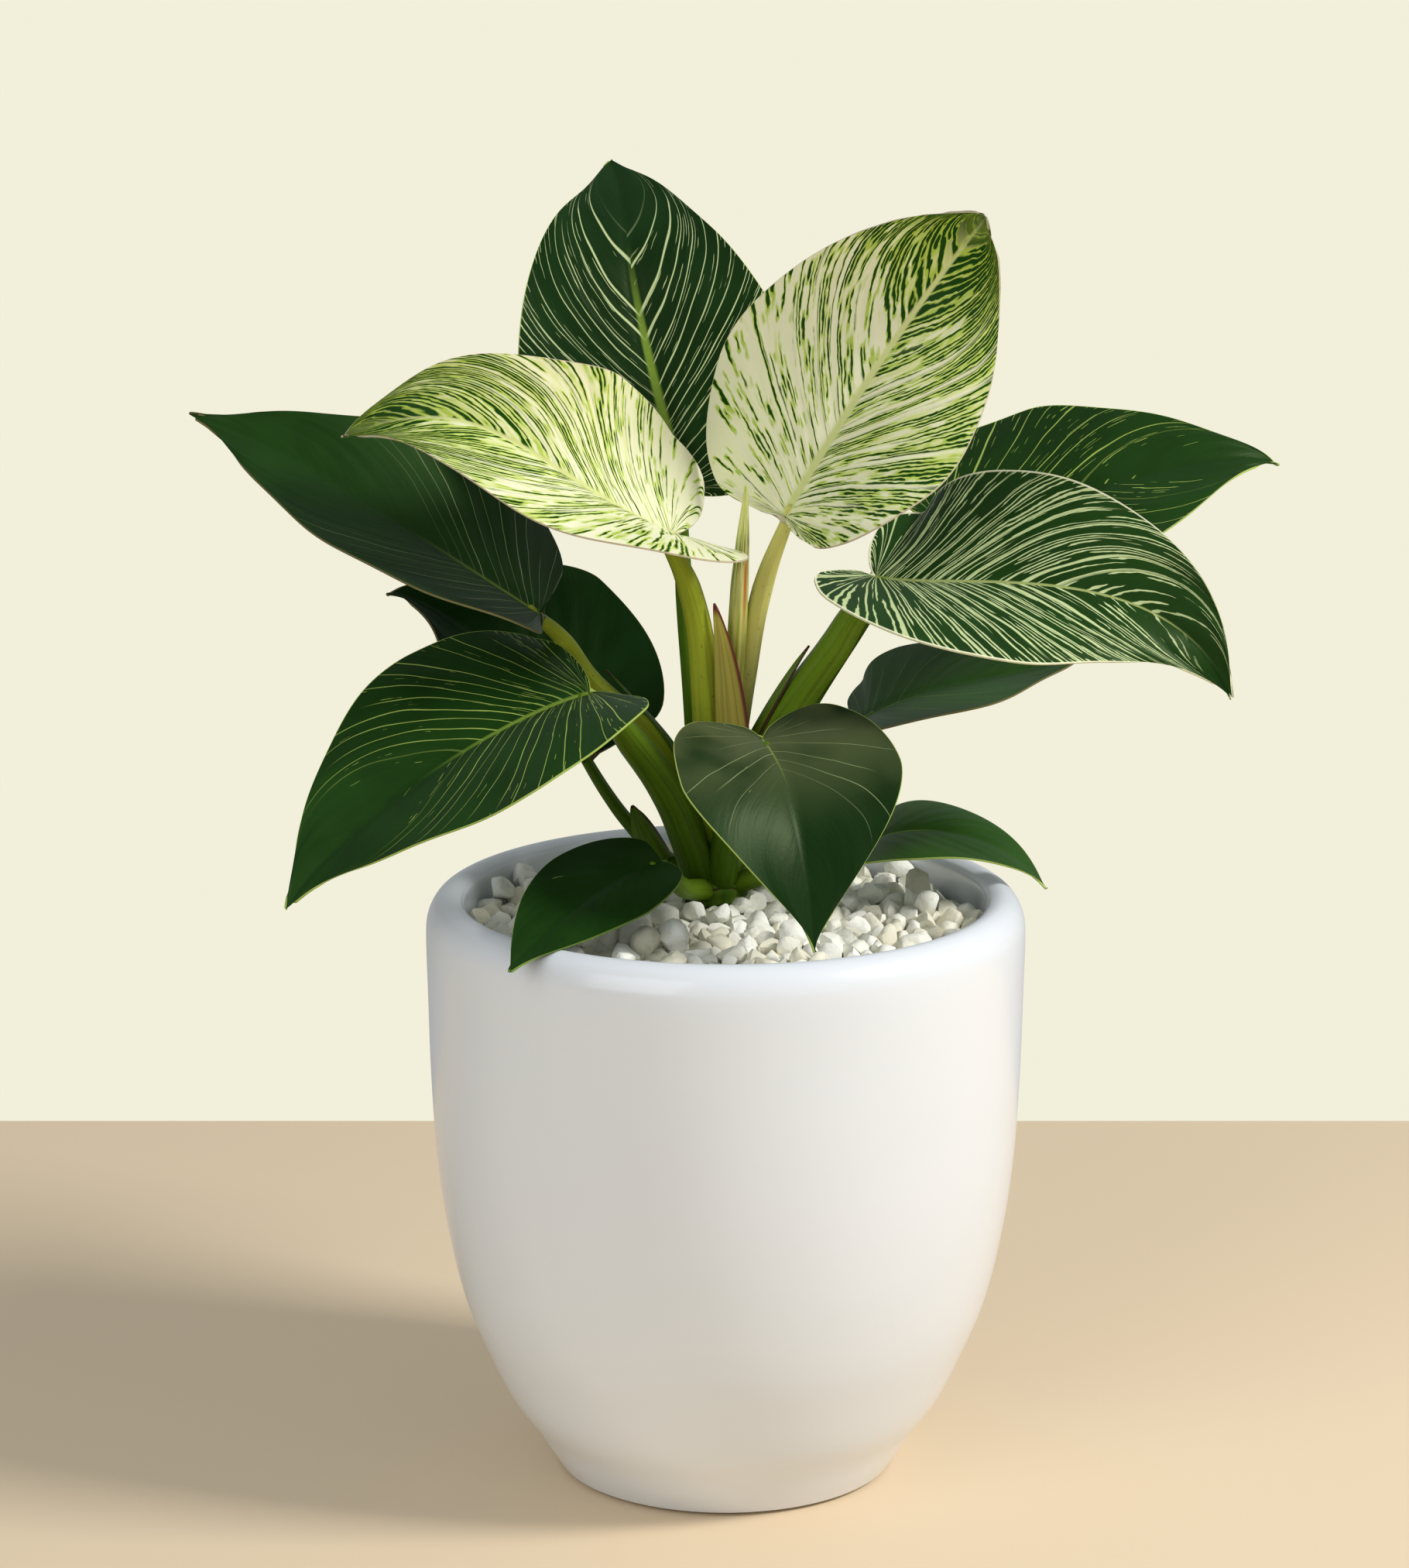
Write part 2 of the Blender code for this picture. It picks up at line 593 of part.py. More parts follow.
def stem_body(name, grow=0.0):
    """The stem stump, or with grow a slightly larger cutter of it."""
    top = STEM_TOP + grow
    bpy.ops.mesh.primitive_cone_add(
        vertices=20, radius1=(STEM_RADIUS + grow) * MM,
        radius2=(STEM_RADIUS + grow - STEM_TAPER) * MM, depth=(top - STEM_BOTTOM) * MM,
        location=(STEM_CENTRE[0] * MM, STEM_CENTRE[1] * MM, (top + STEM_BOTTOM) * 0.5 * MM))
    stem = bpy.context.object
    bpy.ops.object.transform_apply(location=True, rotation=True, scale=True)
    stem.name = name
    bevel = stem.modifiers.new("bevel", "BEVEL")
    bevel.width = STEM_BEVEL * MM
    bevel.segments = 2
    bevel.limit_method = "ANGLE"
    apply_modifier(stem, "bevel")
    return stem


def clear_of(obj, taken):
    """Cut a stalk or sheath back from what is already there and keep its main body."""
    for other in taken:
        cut(obj, other)
    merge_points(obj, 0.0000002)
    keep_largest_body(obj)


def main():
    """Build every node."""
    for obj in list(bpy.data.objects):
        bpy.data.objects.remove(obj, do_unlink=True)
    scene = bpy.context.scene
    parts = bpy.data.collections.new("philodendron_birkin")
    scene.collection.children.link(parts)
    cutters = bpy.data.collections.new("cutters")
    scene.collection.children.link(cutters)

    finish_node(pot_body(), "pot", COLOURS["pot"], 0.12, parts)
    hole = hole_cutter()
    finish_node(soil_body(hole), "soil", COLOURS["soil"], 0.95, parts)
    move_to(hole, cutters)
    finish_node(stem_body("stem"), "stem", COLOURS["stem"], 0.5, parts)

    blades = {key: Blade(row) for key, row in BLADES.items()}
    for key, blade in blades.items():
        colour = COLOURS["cream"] if key in CREAM_BLADES else COLOURS["blade"]
        finish_node(blade_mesh("blade_" + key, blade), "blade_" + key, colour, 0.35, parts)

    taken = [stem_body("stem_grown", GAP)]
    spear = tube_mesh("spear_leaf", SPEAR, ring=1)
    clear_of(spear, taken)
    finish_node(spear, "spear_leaf", COLOURS["petiole"], 0.4, parts)
    taken.append(tube_mesh("spear_grown", SPEAR, GAP, ring=1))

    for key in PETIOLES:
        points = petiole_points(key, blades)
        obj = tube_mesh("petiole_" + key, points)
        clear_of(obj, taken)
        finish_node(obj, "petiole_" + key, COLOURS["petiole"], 0.4, parts)
        taken.append(tube_mesh("grown_" + key, points, GAP))

    for key, (axis, angles) in SHEATHS.items():
        obj = sheath_mesh("sheath_" + key, axis, angles)
        clear_of(obj, taken)
        finish_node(obj, "sheath_" + key, COLOURS["sheath"], 0.5, parts)

    finish_node(gravel_body(), "gravel", COLOURS["gravel"], 0.85, parts)

    for obj in taken:
        move_to(obj, cutters)
    cutters.hide_render = True
    for obj in cutters.objects:
        obj.hide_render = True
        obj.display_type = "WIRE"


main()
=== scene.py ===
"""Finished look of a philodendron birkin in its white glazed pot.

Laid out as a Blender add-on and run as a script. Every operator makes one piece, or one
group of like pieces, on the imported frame: metres, +Z up, the pot's foot at the origin and
the side meant to be looked at facing -Y.
"""

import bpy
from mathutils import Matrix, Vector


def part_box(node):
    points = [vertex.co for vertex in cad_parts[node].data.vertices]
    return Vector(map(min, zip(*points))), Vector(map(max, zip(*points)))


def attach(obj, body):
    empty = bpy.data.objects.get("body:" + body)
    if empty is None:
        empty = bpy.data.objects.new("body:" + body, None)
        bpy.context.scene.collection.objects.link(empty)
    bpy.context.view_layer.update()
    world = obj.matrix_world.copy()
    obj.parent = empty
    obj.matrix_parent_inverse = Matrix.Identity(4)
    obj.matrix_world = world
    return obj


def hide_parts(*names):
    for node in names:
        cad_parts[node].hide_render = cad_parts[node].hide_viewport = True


bl_info = {
    "name": "Philodendron Birkin in a White Pot",
    "version": (1, 0, 0),
    "blender": (4, 5, 0),
    "location": "View3D > Sidebar > Birkin",
    "description": "Models the striped leaves, stalks, stone chips and glazed pot",
    "category": "Object",
}

import math
import random

import bpy
import numpy as np
from mathutils import Euler, Matrix, Vector, noise

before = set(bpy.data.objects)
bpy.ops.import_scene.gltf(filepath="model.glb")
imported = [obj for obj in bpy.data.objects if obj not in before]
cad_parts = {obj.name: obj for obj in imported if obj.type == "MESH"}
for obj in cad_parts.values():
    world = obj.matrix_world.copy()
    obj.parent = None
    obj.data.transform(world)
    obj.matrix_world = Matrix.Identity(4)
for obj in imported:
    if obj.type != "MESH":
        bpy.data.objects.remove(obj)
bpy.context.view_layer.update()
MM = 0.001

# Outer wall of the pot from the foot to the rim, as (radius, height) in millimetres.
POT_OUTER = (
    (43.0, 0.0), (48.6, 1.2), (51.8, 6.3), (55.8, 12.7), (62.6, 22.2), (68.7, 34.9),
    (75.0, 50.7), (79.5, 69.7), (82.6, 91.9), (84.1, 117.2), (84.7, 142.6),
    (85.0, 158.0), (84.4, 163.6), (82.2, 167.6), (79.0, 169.5),
)
# Inner wall from the rim down to the floor.
POT_INNER = (
    (76.2, 169.2), (74.4, 167.4), (74.0, 162.0), (76.6, 118.0), (75.6, 92.0),
    (70.5, 60.0), (62.0, 36.0), (44.0, 9.5),
)
POT_FLOOR = 8.0
SOIL_TOP = 157.0
SOIL_DOME = 2.5
SOIL_RADIUS = 73.3
STEM_CENTRE = (-3.0, 19.0)
STEM_RADIUS = 10.0

# One leaf blade each: four control points of the midrib from base to tip, azimuth and
# elevation of the direction its upper face looks along, twist over the length, fold of
# the right and left half, droop of the right and left half, half width, lobe length,
# distance of the widest place from the base, taper towards the tip, lobe lift.
BLADES = {
    "a": (((-52, 5, 249), (-97, 3, 279), (-126, 11, 297), (-151, 20, 303)),
          -99, 76, -28, (9, 11), (1, -18), 42, 1, 30, 1.40, 0.15),
    "b": (((-15, 3, 272), (-55, -24, 295), (-64, -26, 320), (-106, -8, 301)),
          -135, 51, -6, (30, 15), (-28, 13), 35, 12, 20, 1.15, 0.20),
    "c": (((-12, 30, 280), (-32, 30, 352), (-25, 43, 348), (-33, 71, 369)),
          -84, 28, -1, (9, 10), (8, 5), 40, 6, 32, 1.00, 0.15),
    "d": (((16, -3, 278), (48, 5, 332), (68, 5, 355), (70, -18, 362)),
          -140, 23, 58, (14, 6), (3, 2), 44, 3, 28, 1.00, 0.15),
    "e": (((-38, -8, 229), (-61, -24, 227), (-108, -40, 198), (-120, -52, 178)),
          -115, 64, -16, (12, 17), (7, 5), 40, 4, 35, 1.30, 0.15),
    "f": (((10, -26, 220), (18, -45, 214), (21, -57, 201), (24, -61, 168)),
          -68, 31, 2, (13, 12), (13, -4), 32, 6, 21, 1.55, 0.20),
    "g": (((-18, -26, 185), (-36, -36, 183), (-56, -62, 168), (-58, -79, 168)),
          -107, 79, -13, (11, 5), (0, 15), 18, 1, 21, 1.50, 0.15),
    "h": (((40, 15, 179), (49, 10, 189), (80, 11, 186), (92, 12, 167)),
          -89, 77, 7, (7, 4), (4, 16), 20, 3, 16, 1.35, 0.15),
    "i": (((42, 8, 259), (65, -6, 257), (124, -3, 269), (140, -18, 229)),
          -81, 70, 56, (19, 15), (12, 7), 38, 7, 28, 1.20, 0.40),
    "j": (((62, 49, 267), (109, 47, 274), (142, 50, 292), (161, 60, 282)),
          -87, 57, 5, (11, 10), (8, 15), 36, 12, 34, 1.40, 0.15),
    "k": (((40, 39, 211), (55, 36, 222), (78, 47, 219), (109, 55, 228)),
          -92, 83, 5, (12, 10), (6, 6), 30, 5, 20, 1.45, 0.10),
    "l": (((-40, 38, 200), (-52, 48, 215), (-84, 53, 247), (-98, 43, 247)),
          -82, 57, 2, (19, 21), (-6, 6), 39, 2, 34, 1.65, 0.15),
}

# One stalk each, from the stem outwards, as (x, y, z, radius). The last point is worked
# out from the leaf.
STALKS = {
    "d": ((-2, 20, 172, 3.8), (1, 20, 196, 3.6), (5.2, 17, 225, 3.1), (10.3, 9, 255, 2.9)),
    "b": ((-5, 17, 172, 4.4), (-5, 13, 198, 4.6), (-5.5, 10, 223, 4.3), (-10.4, 5, 256, 3.3)),
    "c": ((-6, 23, 172, 3.2), (-8, 25, 196, 3.0), (-9.4, 27, 219, 2.9), (-11.8, 29, 250, 2.6)),
    "i": ((-1, 18, 172, 5.0), (9, 15, 203, 5.2), (21, 12, 224, 4.9), (30.5, 10, 238, 4.6),
          (36.5, 9, 248, 4.0)),
    "j": ((3, 23, 172, 3.0), (17, 29, 205, 3.0), (36, 38, 235, 2.7), (52, 46, 256, 2.3)),
    "e": ((-7, 15, 170, 5.2), (-10.6, 9, 183, 5.2), (-16.2, 4, 197.5, 5.0),
          (-26, -2, 213, 4.3), (-33, -6, 222.5, 3.2)),
    "a": ((-8, 23, 172, 3.2), (-13, 20, 195, 3.2), (-21, 16.5, 211, 3.0),
          (-38.5, 15, 228, 2.7), (-45.5, 14.5, 238.5, 2.4)),
    "f": ((-1, 13, 170, 4.4), (1, 6, 184, 4.4), (5, -6, 200, 3.6), (8.5, -17, 211.5, 2.5)),
    "k": ((1, 23, 170, 2.8), (12, 28, 185, 2.6), (26, 34, 198, 2.4), (35, 37, 206, 2.0)),
    "l": ((-8, 21, 169, 2.6), (-18.6, 24, 174, 2.4), (-27.9, 28.8, 182.5, 2.1),
          (-34.0, 32.8, 189.8, 1.9)),
    "g": ((-6, 14, 166, 3.4), (-8, 5, 168.5, 3.2), (-12, -8, 172.5, 2.8),
          (-15.5, -18, 178.5, 2.3)),
    "h": ((1, 16, 167, 3.2), (8, 13, 170, 3.0), (15, 12.5, 172.5, 2.6),
          (27, 13.5, 173.5, 2.2), (34, 14.5, 173.5, 1.9)),
}
STALK_TIP_RADIUS = 1.6

# How far the end of a stalk lies below the blade and ahead of its base.
STALK_TIP_DROP = 1.3
STALK_TIP_INSET = 3.0

# How the chips settle, in millimetres and rounds: the circle and the heights above the
# soil that they start in, fall and push in one round, how near two chips come, as a share
# of their radii, the circle that they stay in, and the height above which they are dropped.
CHIP_SEED = 23
CHIP_KINDS = 14
CHIP_CIRCLE = 72.0
CHIP_LOW = 3.0
CHIP_RISE = 7.0
CHIP_ROUNDS = 240
CHIP_FALL = 0.09
CHIP_PUSH = 0.36
CHIP_REACH = 0.88
CHIP_WALL = 73.6
CHIP_TOP = 14.5
# Stalks that start among the chips, and the height up to which chips can touch them.
LOW_STALKS = ("g", "h", "f", "e", "l", "k")
LOW_HEIGHT = 172.0

# Spots where the soil shows between the chips, as (x, y, radius).
BARE_SPOTS = ((-9.0, 5.0, 4.0), (1.0, 4.0, 3.6), (64.0, 33.0, 4.5))

# The leaf that is still rolled up, as (x, y, z, radius).
ROLLED_LEAF = ((-0.5, 16, 172, 3.0), (0.8, 13, 205, 3.0), (2.8, 10.5, 233, 2.9),
               (3.9, 6, 256, 2.6), (4.7, 1, 270, 1.9), (5.6, -3, 286, 0.5))

# Sheaths: control points of the axis as (x, y, z, radius), start and end angle in degrees
# seen from above, counted from +X.
SHEATHS = {
    "b": (((3, 9, 192, 5.2), (2.4, 8.5, 214, 5.0), (0.5, 7.5, 236, 4.2), (-3.4, 6.5, 252, 3.0)),
          (-155, -20)),
    "i": (((5, 17, 192, 6.2), (12, 14.5, 209, 6.2), (20, 12.5, 223, 6.0), (28, 11, 236, 5.4)),
          (165, 228)),
    "a": (((-12, 21, 192, 4.6), (-17, 18.5, 207, 4.6), (-25, 16.5, 214, 4.4),
           (-37, 15.3, 227.5, 4.0)), (-40, 60)),
    "l": (((-19, 20.9, 172, 4.0), (-22.5, 22.9, 178, 4.0), (-25.5, 25.4, 183, 3.4),
           (-27.3, 26.9, 187.5, 2.6)), (-150, -10)),
}

SHEATH_ROWS = 48
SHEATH_COLUMNS = 20
SHEATH_WALL = 0.0005

# Where a vein meets the margin and where it leaves the midrib, as shares of the length.
VEIN_ENDS = (0.08, 0.20, 0.32, 0.46, 0.60, 0.72, 0.82, 0.89, 0.94, 0.97, 0.99, 1.0)
VEIN_FEET = (0.0, 0.02, 0.06, 0.12, 0.19, 0.26, 0.35, 0.46, 0.59, 0.73, 0.87, 1.0)

# Relief of a blade in millimetres: gap of the pleats, gap and height of the waves at the
# margin, width and depth of the groove over the midrib.
PLEAT_GAP = 9.0
WAVE_GAP = 31.0
WAVE_HEIGHT = 0.45
GROOVE_WIDTH = 1.7
GROOVE_DEPTH = 0.75
# Shift of the right half's pattern, so that the two halves differ.
HALF_SHIFT = 311.0

# Markings that every leaf starts from. Gaps, widths and softness are in millimetres.
# Shares go from 0 to 1. Dashes are the short marks, lines the long ones along the veins.
# The last entry is the strength of a painted sheen: a grey-green highlight painted near the
# blade's base, standing in for light on the satin skin.
PLAIN_LEAF = {
    "ground": "dark", "seed": 1.0, "pleat": 0.08,
    "zone": 0.0, "zone_level": 0.0, "halo": 0.0, "spread": 0.0, "contrast": 1.0,
    "dash_foot": 0.7, "tip_fill": 0.0,
    "dash": 0.7, "dash_tone": "lime", "dash_gap": 2.3, "dash_width": 0.26, "dash_run": 0.11,
    "wobble": 0.5, "cover": -0.30, "patch": 0.25, "right": 0.0, "tip": 0.0, "base": 0.0,
    "margin": 0.0, "margin_width": 3.0,
    "line": 0.5, "line_tone": "lime", "line_gap": 9.0, "line_width": 0.4, "line_soft": 0.12,
    "line_reach": 0.9, "line_end": 2.0, "line_foot": 0.55,
    "rib_tone": "rib_green", "rib_width": 1.1, "rib_end": 0.6,
    "edge_tone": "lime", "edge_width": 0.3, "painted_sheen": 0.0,
}
# What differs from leaf to leaf.
MARKINGS = {
    "a": {"ground": "green", "seed": 1.3, "line_gap": 7.5, "line_width": 0.3, "line_end": 0.75,
          "line_foot": 0.3, "line_tone": "pale", "base": 0.05, "dash": 0.45, "edge_tone": "brown",
          "edge_width": 0.22, "rib_width": 0.8, "rib_end": 0.35},
    "b": {"ground": "cream", "seed": 2.1, "pleat": 0.16, "zone": 0.8, "zone_level": -0.01, "halo":
          0.95, "spread": 0.6, "contrast": 1.35, "dash_foot": 1.0, "tip_fill": 0.85, "dash": 1.0,
          "dash_tone": "leaf_green", "dash_gap": 1.6, "dash_width": 0.8, "dash_run": 0.06,
          "wobble": 1.2, "cover": 0.05, "patch": 0.34, "tip": 0.16, "base": -0.12, "margin":
          -0.04, "line_tone": "cream", "line": 0.85, "line_gap": 10.0, "line_width": 1.5,
          "line_soft": 0.8, "line_reach": 0.75, "line_end": 0.75, "line_foot": 0.5, "rib_width":
          1.6, "rib_end": 0.95, "rib_tone": "pale_lime", "edge_tone": "blush", "edge_width": 0.2},
    "c": {"seed": 3.7, "line_gap": 6.6, "line_width": 0.58, "line": 0.9, "line_reach": 1.3,
          "line_tone": "pale", "dash": 0.8, "dash_tone": "pale", "dash_gap": 1.8, "dash_run":
          0.06, "cover": -0.045, "tip": -0.03, "line_foot": 0.74, "margin": 0.1, "rib_width": 2.2,
          "rib_end": 0.65, "edge_width": 0.2},
    "d": {"ground": "cream", "seed": 4.9, "pleat": 0.3, "zone": 0.8, "zone_level": -0.03, "halo":
          0.95, "spread": 0.75, "contrast": 1.35, "dash_foot": 1.0, "tip_fill": 0.9, "dash": 1.0,
          "dash_tone": "leaf_green", "dash_gap": 1.55, "dash_width": 0.88, "dash_run": 0.06,
          "wobble": 1.4, "cover": -0.02, "patch": 0.36, "right": 0.11, "tip": 0.18, "base": -0.09,
          "margin": -0.03, "line_tone": "cream", "line": 0.9, "line_gap": 11.0, "line_width": 2.0,
          "line_soft": 0.9, "line_reach": 0.75, "line_end": 0.8, "line_foot": 0.5, "rib_width":
          2.3, "rib_end": 1.0, "rib_tone": "pale_lime", "edge_tone": "blush", "edge_width": 0.2},
    "e": {"ground": "green", "seed": 5.2, "line_gap": 6.6, "line_width": 0.42, "line": 0.85,
          "line_reach": 1.2, "line_foot": 0.42, "dash": 0.75, "dash_gap": 1.7, "dash_width": 0.22,
          "dash_run": 0.1, "cover": -0.16, "base": 0.13, "tip": -0.12, "margin": 0.06, "rib_end":
          0.5},
    "f": {"seed": 6.4, "pleat": 0.03, "line_gap": 8.5, "line_width": 0.22, "line": 0.42,
          "line_tone": "pale", "line_reach": 0.7, "line_foot": 0.28, "line_end": 0.85, "dash_gap":
          2.6, "dash_width": 0.2, "cover": -0.26, "rib_width": 0.3, "rib_end": 0.3, "edge_width":
          0.22, "painted_sheen": 1.0},
    "g": {"ground": "green", "seed": 7.5, "line": 0.0, "rib_width": 0.25, "rib_end": 0.4,
          "rib_tone": "leaf_green", "edge_tone": "rib_green", "edge_width": 0.22},
    "h": {"ground": "mid", "seed": 8.6, "line": 0.0, "rib_width": 0.25, "rib_end": 0.4,
          "edge_width": 0.15, "painted_sheen": 0.2},
    "i": {"ground": "green", "seed": 9.8, "pleat": 0.12, "dash": 0.95, "dash_tone": "pale",
          "dash_gap": 1.75, "dash_width": 0.62, "dash_run": 0.035, "wobble": 0.9, "contrast": 1.3,
          "cover": 0.03, "patch": 0.22, "tip": -0.12, "margin": 0.1, "dash_foot": 0.85,
          "line_tone": "pale", "line": 0.95, "line_gap": 7.2, "line_width": 1.3, "line_reach":
          1.3, "rib_width": 0.8, "rib_end": 0.9, "rib_tone": "olive", "edge_tone": "cream",
          "edge_width": 0.9},
    "j": {"ground": "green", "seed": 10.6, "line_gap": 10.0, "line_width": 0.75, "line": 0.95,
          "line_reach": 1.5, "line_foot": 0.42, "dash": 0.8, "dash_gap": 1.8, "dash_width": 0.25,
          "dash_run": 0.1, "cover": -0.08, "margin": 0.08, "tip": -0.12, "rib_width": 0.8,
          "rib_end": 0.4},
    "k": {"ground": "mid", "seed": 11.9, "line_width": 0.22, "line": 0.25, "line_foot": 0.3,
          "rib_width": 0.3, "rib_end": 0.3, "edge_tone": "brown", "edge_width": 0.2},
    "l": {"seed": 12.2, "line": 0.0, "rib_width": 0.4, "rib_end": 0.3, "edge_tone": "brown",
          "edge_width": 0.2},
}
# Tone of each stalk at its leaf and low down, and how strong its streaks are.
STALK_TONES = {
    "a": ("yellow", "lively", 0.3), "b": ("yellow", "lively", 0.5),
    "c": ("green", "green", 0.3), "d": ("straw", "yellow", 0.2),
    "e": ("fresh", "green", 0.8), "f": ("green", "green", 0.4),
    "g": ("fresh", "fresh", 0.3), "h": ("green", "fresh", 0.3),
    "i": ("fresh", "green", 0.8), "j": ("green", "green", 0.3),
    "k": ("green", "green", 0.3), "l": ("green", "green", 0.3),
}
SHEATH_TONES = {"a": "green", "b": "honey", "i": "fresh", "l": "fresh"}


# Width and depth of the table, in metres.
TABLE_SIZE = (6.0, 4.0)


def colour_prop(name, description, default):
    """Colour that a user may change."""
    return bpy.props.FloatVectorProperty(
        name=name, description=description, subtype="COLOR", size=3, min=0.0, max=1.0,
        default=default)


def length_prop(name, description, default):
    """Length that a user may change."""
    return bpy.props.FloatProperty(
        name=name, description=description, unit="LENGTH", default=default)


def count_prop(name, description, default, lowest):
    """Whole number that a user may change."""
    return bpy.props.IntProperty(
        name=name, description=description, default=default, min=lowest)


class BirkinPotSettings(bpy.types.PropertyGroup):
    """Sizes and finish of the pot."""

    height: length_prop("Height", "Height of the rim above the table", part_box("pot")[1].z)
    steps: count_prop("Steps", "Steps round the pot", 160, 24)
    glaze: colour_prop("Glaze", "Colour of the glaze", (0.775, 0.815, 0.87))
    bisque: colour_prop("Bisque", "Colour of the bare foot", (0.70, 0.67, 0.61))
    gloss: bpy.props.FloatProperty(
        name="Roughness", description="Roughness of the glaze", subtype="FACTOR",
        default=0.24, min=0.0, max=1.0)


class BirkinGroundSettings(bpy.types.PropertyGroup):
    """Soil and stone chips."""

    soil: colour_prop("Soil", "Colour of moist soil", (0.030, 0.020, 0.013))
    crumb: length_prop("Crumb height", "Height of the crumbs on the soil", 0.0011)
    count: count_prop("Chips", "Number of stone chips", 500, 10)
    smallest: length_prop("Smallest chip", "Radius of the smallest chip", 0.0026)
    largest: length_prop("Largest chip", "Radius of the largest chip", 0.0045)
    stone: colour_prop("Stone", "Colour of the chips", (0.92, 0.91, 0.81))


class BirkinLeafSettings(bpy.types.PropertyGroup):
    """Thickness and colours of the leaves."""

    thickness: length_prop("Thickness", "Thickness of a leaf blade", 0.00055)
    rib: length_prop("Midrib", "Thickness over the midrib at the base", 0.0021)
    rows: count_prop("Rows", "Rows of faces from base to tip", 108, 24)
    columns: count_prop("Columns", "Columns of faces on each half", 22, 6)
    dark: colour_prop("Dark green", "Ground of the darkest leaves", (0.0045, 0.021, 0.0035))
    green: colour_prop("Green", "Ground of the marked leaves", (0.0085, 0.035, 0.0045))
    mid: colour_prop("Mid green", "Ground of the lighter leaves", (0.018, 0.060, 0.0070))
    leaf_green: colour_prop("Dash green", "Dashes on a cream leaf", (0.006, 0.050, 0.003))
    lime: colour_prop("Lime", "Thin veins and halos", (0.46, 0.60, 0.13))
    pale_lime: colour_prop("Pale lime", "Midrib of a cream leaf", (0.66, 0.70, 0.30))
    zone: colour_prop("Zone lime", "Lime zones of a cream leaf", (0.62, 0.70, 0.20))
    halo: colour_prop("Halo lime", "Rims of the dashes on a cream leaf", (0.42, 0.56, 0.07))
    pale: colour_prop("Pale green", "Stripes of a striped leaf", (0.56, 0.66, 0.33))
    cream: colour_prop("Cream", "Cream parts of a leaf", (0.86, 0.85, 0.60))
    rib_green: colour_prop("Midrib green", "Midrib of a dark leaf", (0.17, 0.27, 0.035))
    olive: colour_prop("Olive", "Midrib of a striped leaf", (0.34, 0.40, 0.14))
    brown: colour_prop("Brown", "Dry margin", (0.16, 0.12, 0.05))
    blush: colour_prop("Blush", "Margin of a cream leaf", (0.62, 0.52, 0.40))


class BirkinStalkSettings(bpy.types.PropertyGroup):
    """Colours of stem, stalks, sheaths and the rolled leaf."""

    straw: colour_prop("Straw", "Palest stalk", (0.62, 0.61, 0.18))
    yellow: colour_prop("Yellow green", "Young stalks", (0.33, 0.39, 0.028))
    honey: colour_prop("Honey", "Young sheath", (0.42, 0.37, 0.06))
    lively: colour_prop("Lively green", "Stalks near the leaves", (0.21, 0.34, 0.018))
    fresh: colour_prop("Fresh green", "Lighter green stalks", (0.13, 0.23, 0.010))
    green: colour_prop("Green", "Old stalks", (0.068, 0.145, 0.006))
    deep: colour_prop("Deep green", "Darkest part of a stalk", (0.022, 0.042, 0.003))
    dry: colour_prop("Dry edge", "Dry edge of a sheath", (0.17, 0.025, 0.018))
    brown: colour_prop("Brown", "Scars on the stem", (0.05, 0.022, 0.008))


class BirkinStageSettings(bpy.types.PropertyGroup):
    """Camera, table and light."""

    camera_place: bpy.props.FloatVectorProperty(
        name="Camera", description="Place of the camera", subtype="TRANSLATION",
        unit="LENGTH", size=3, default=(-0.0060, -1.2574, 0.4993))
    camera_pitch: bpy.props.FloatProperty(
        name="Pitch", description="How far the camera looks down", unit="ROTATION",
        default=math.radians(13.36))
    lens: bpy.props.FloatProperty(
        name="Lens", description="Focal length in millimetres", unit="CAMERA",
        default=105.23)
    table_edge: length_prop("Table edge", "Distance of the far edge behind the pot", 0.320)
    fill: bpy.props.FloatProperty(
        name="Fill light", description="Strength of the light from all round",
        default=0.39, min=0.0)
    table: colour_prop("Table", "Colour of the table", (0.84, 0.67, 0.46))
    wall: colour_prop("Wall", "Colour behind the table", (0.888, 0.863, 0.708))


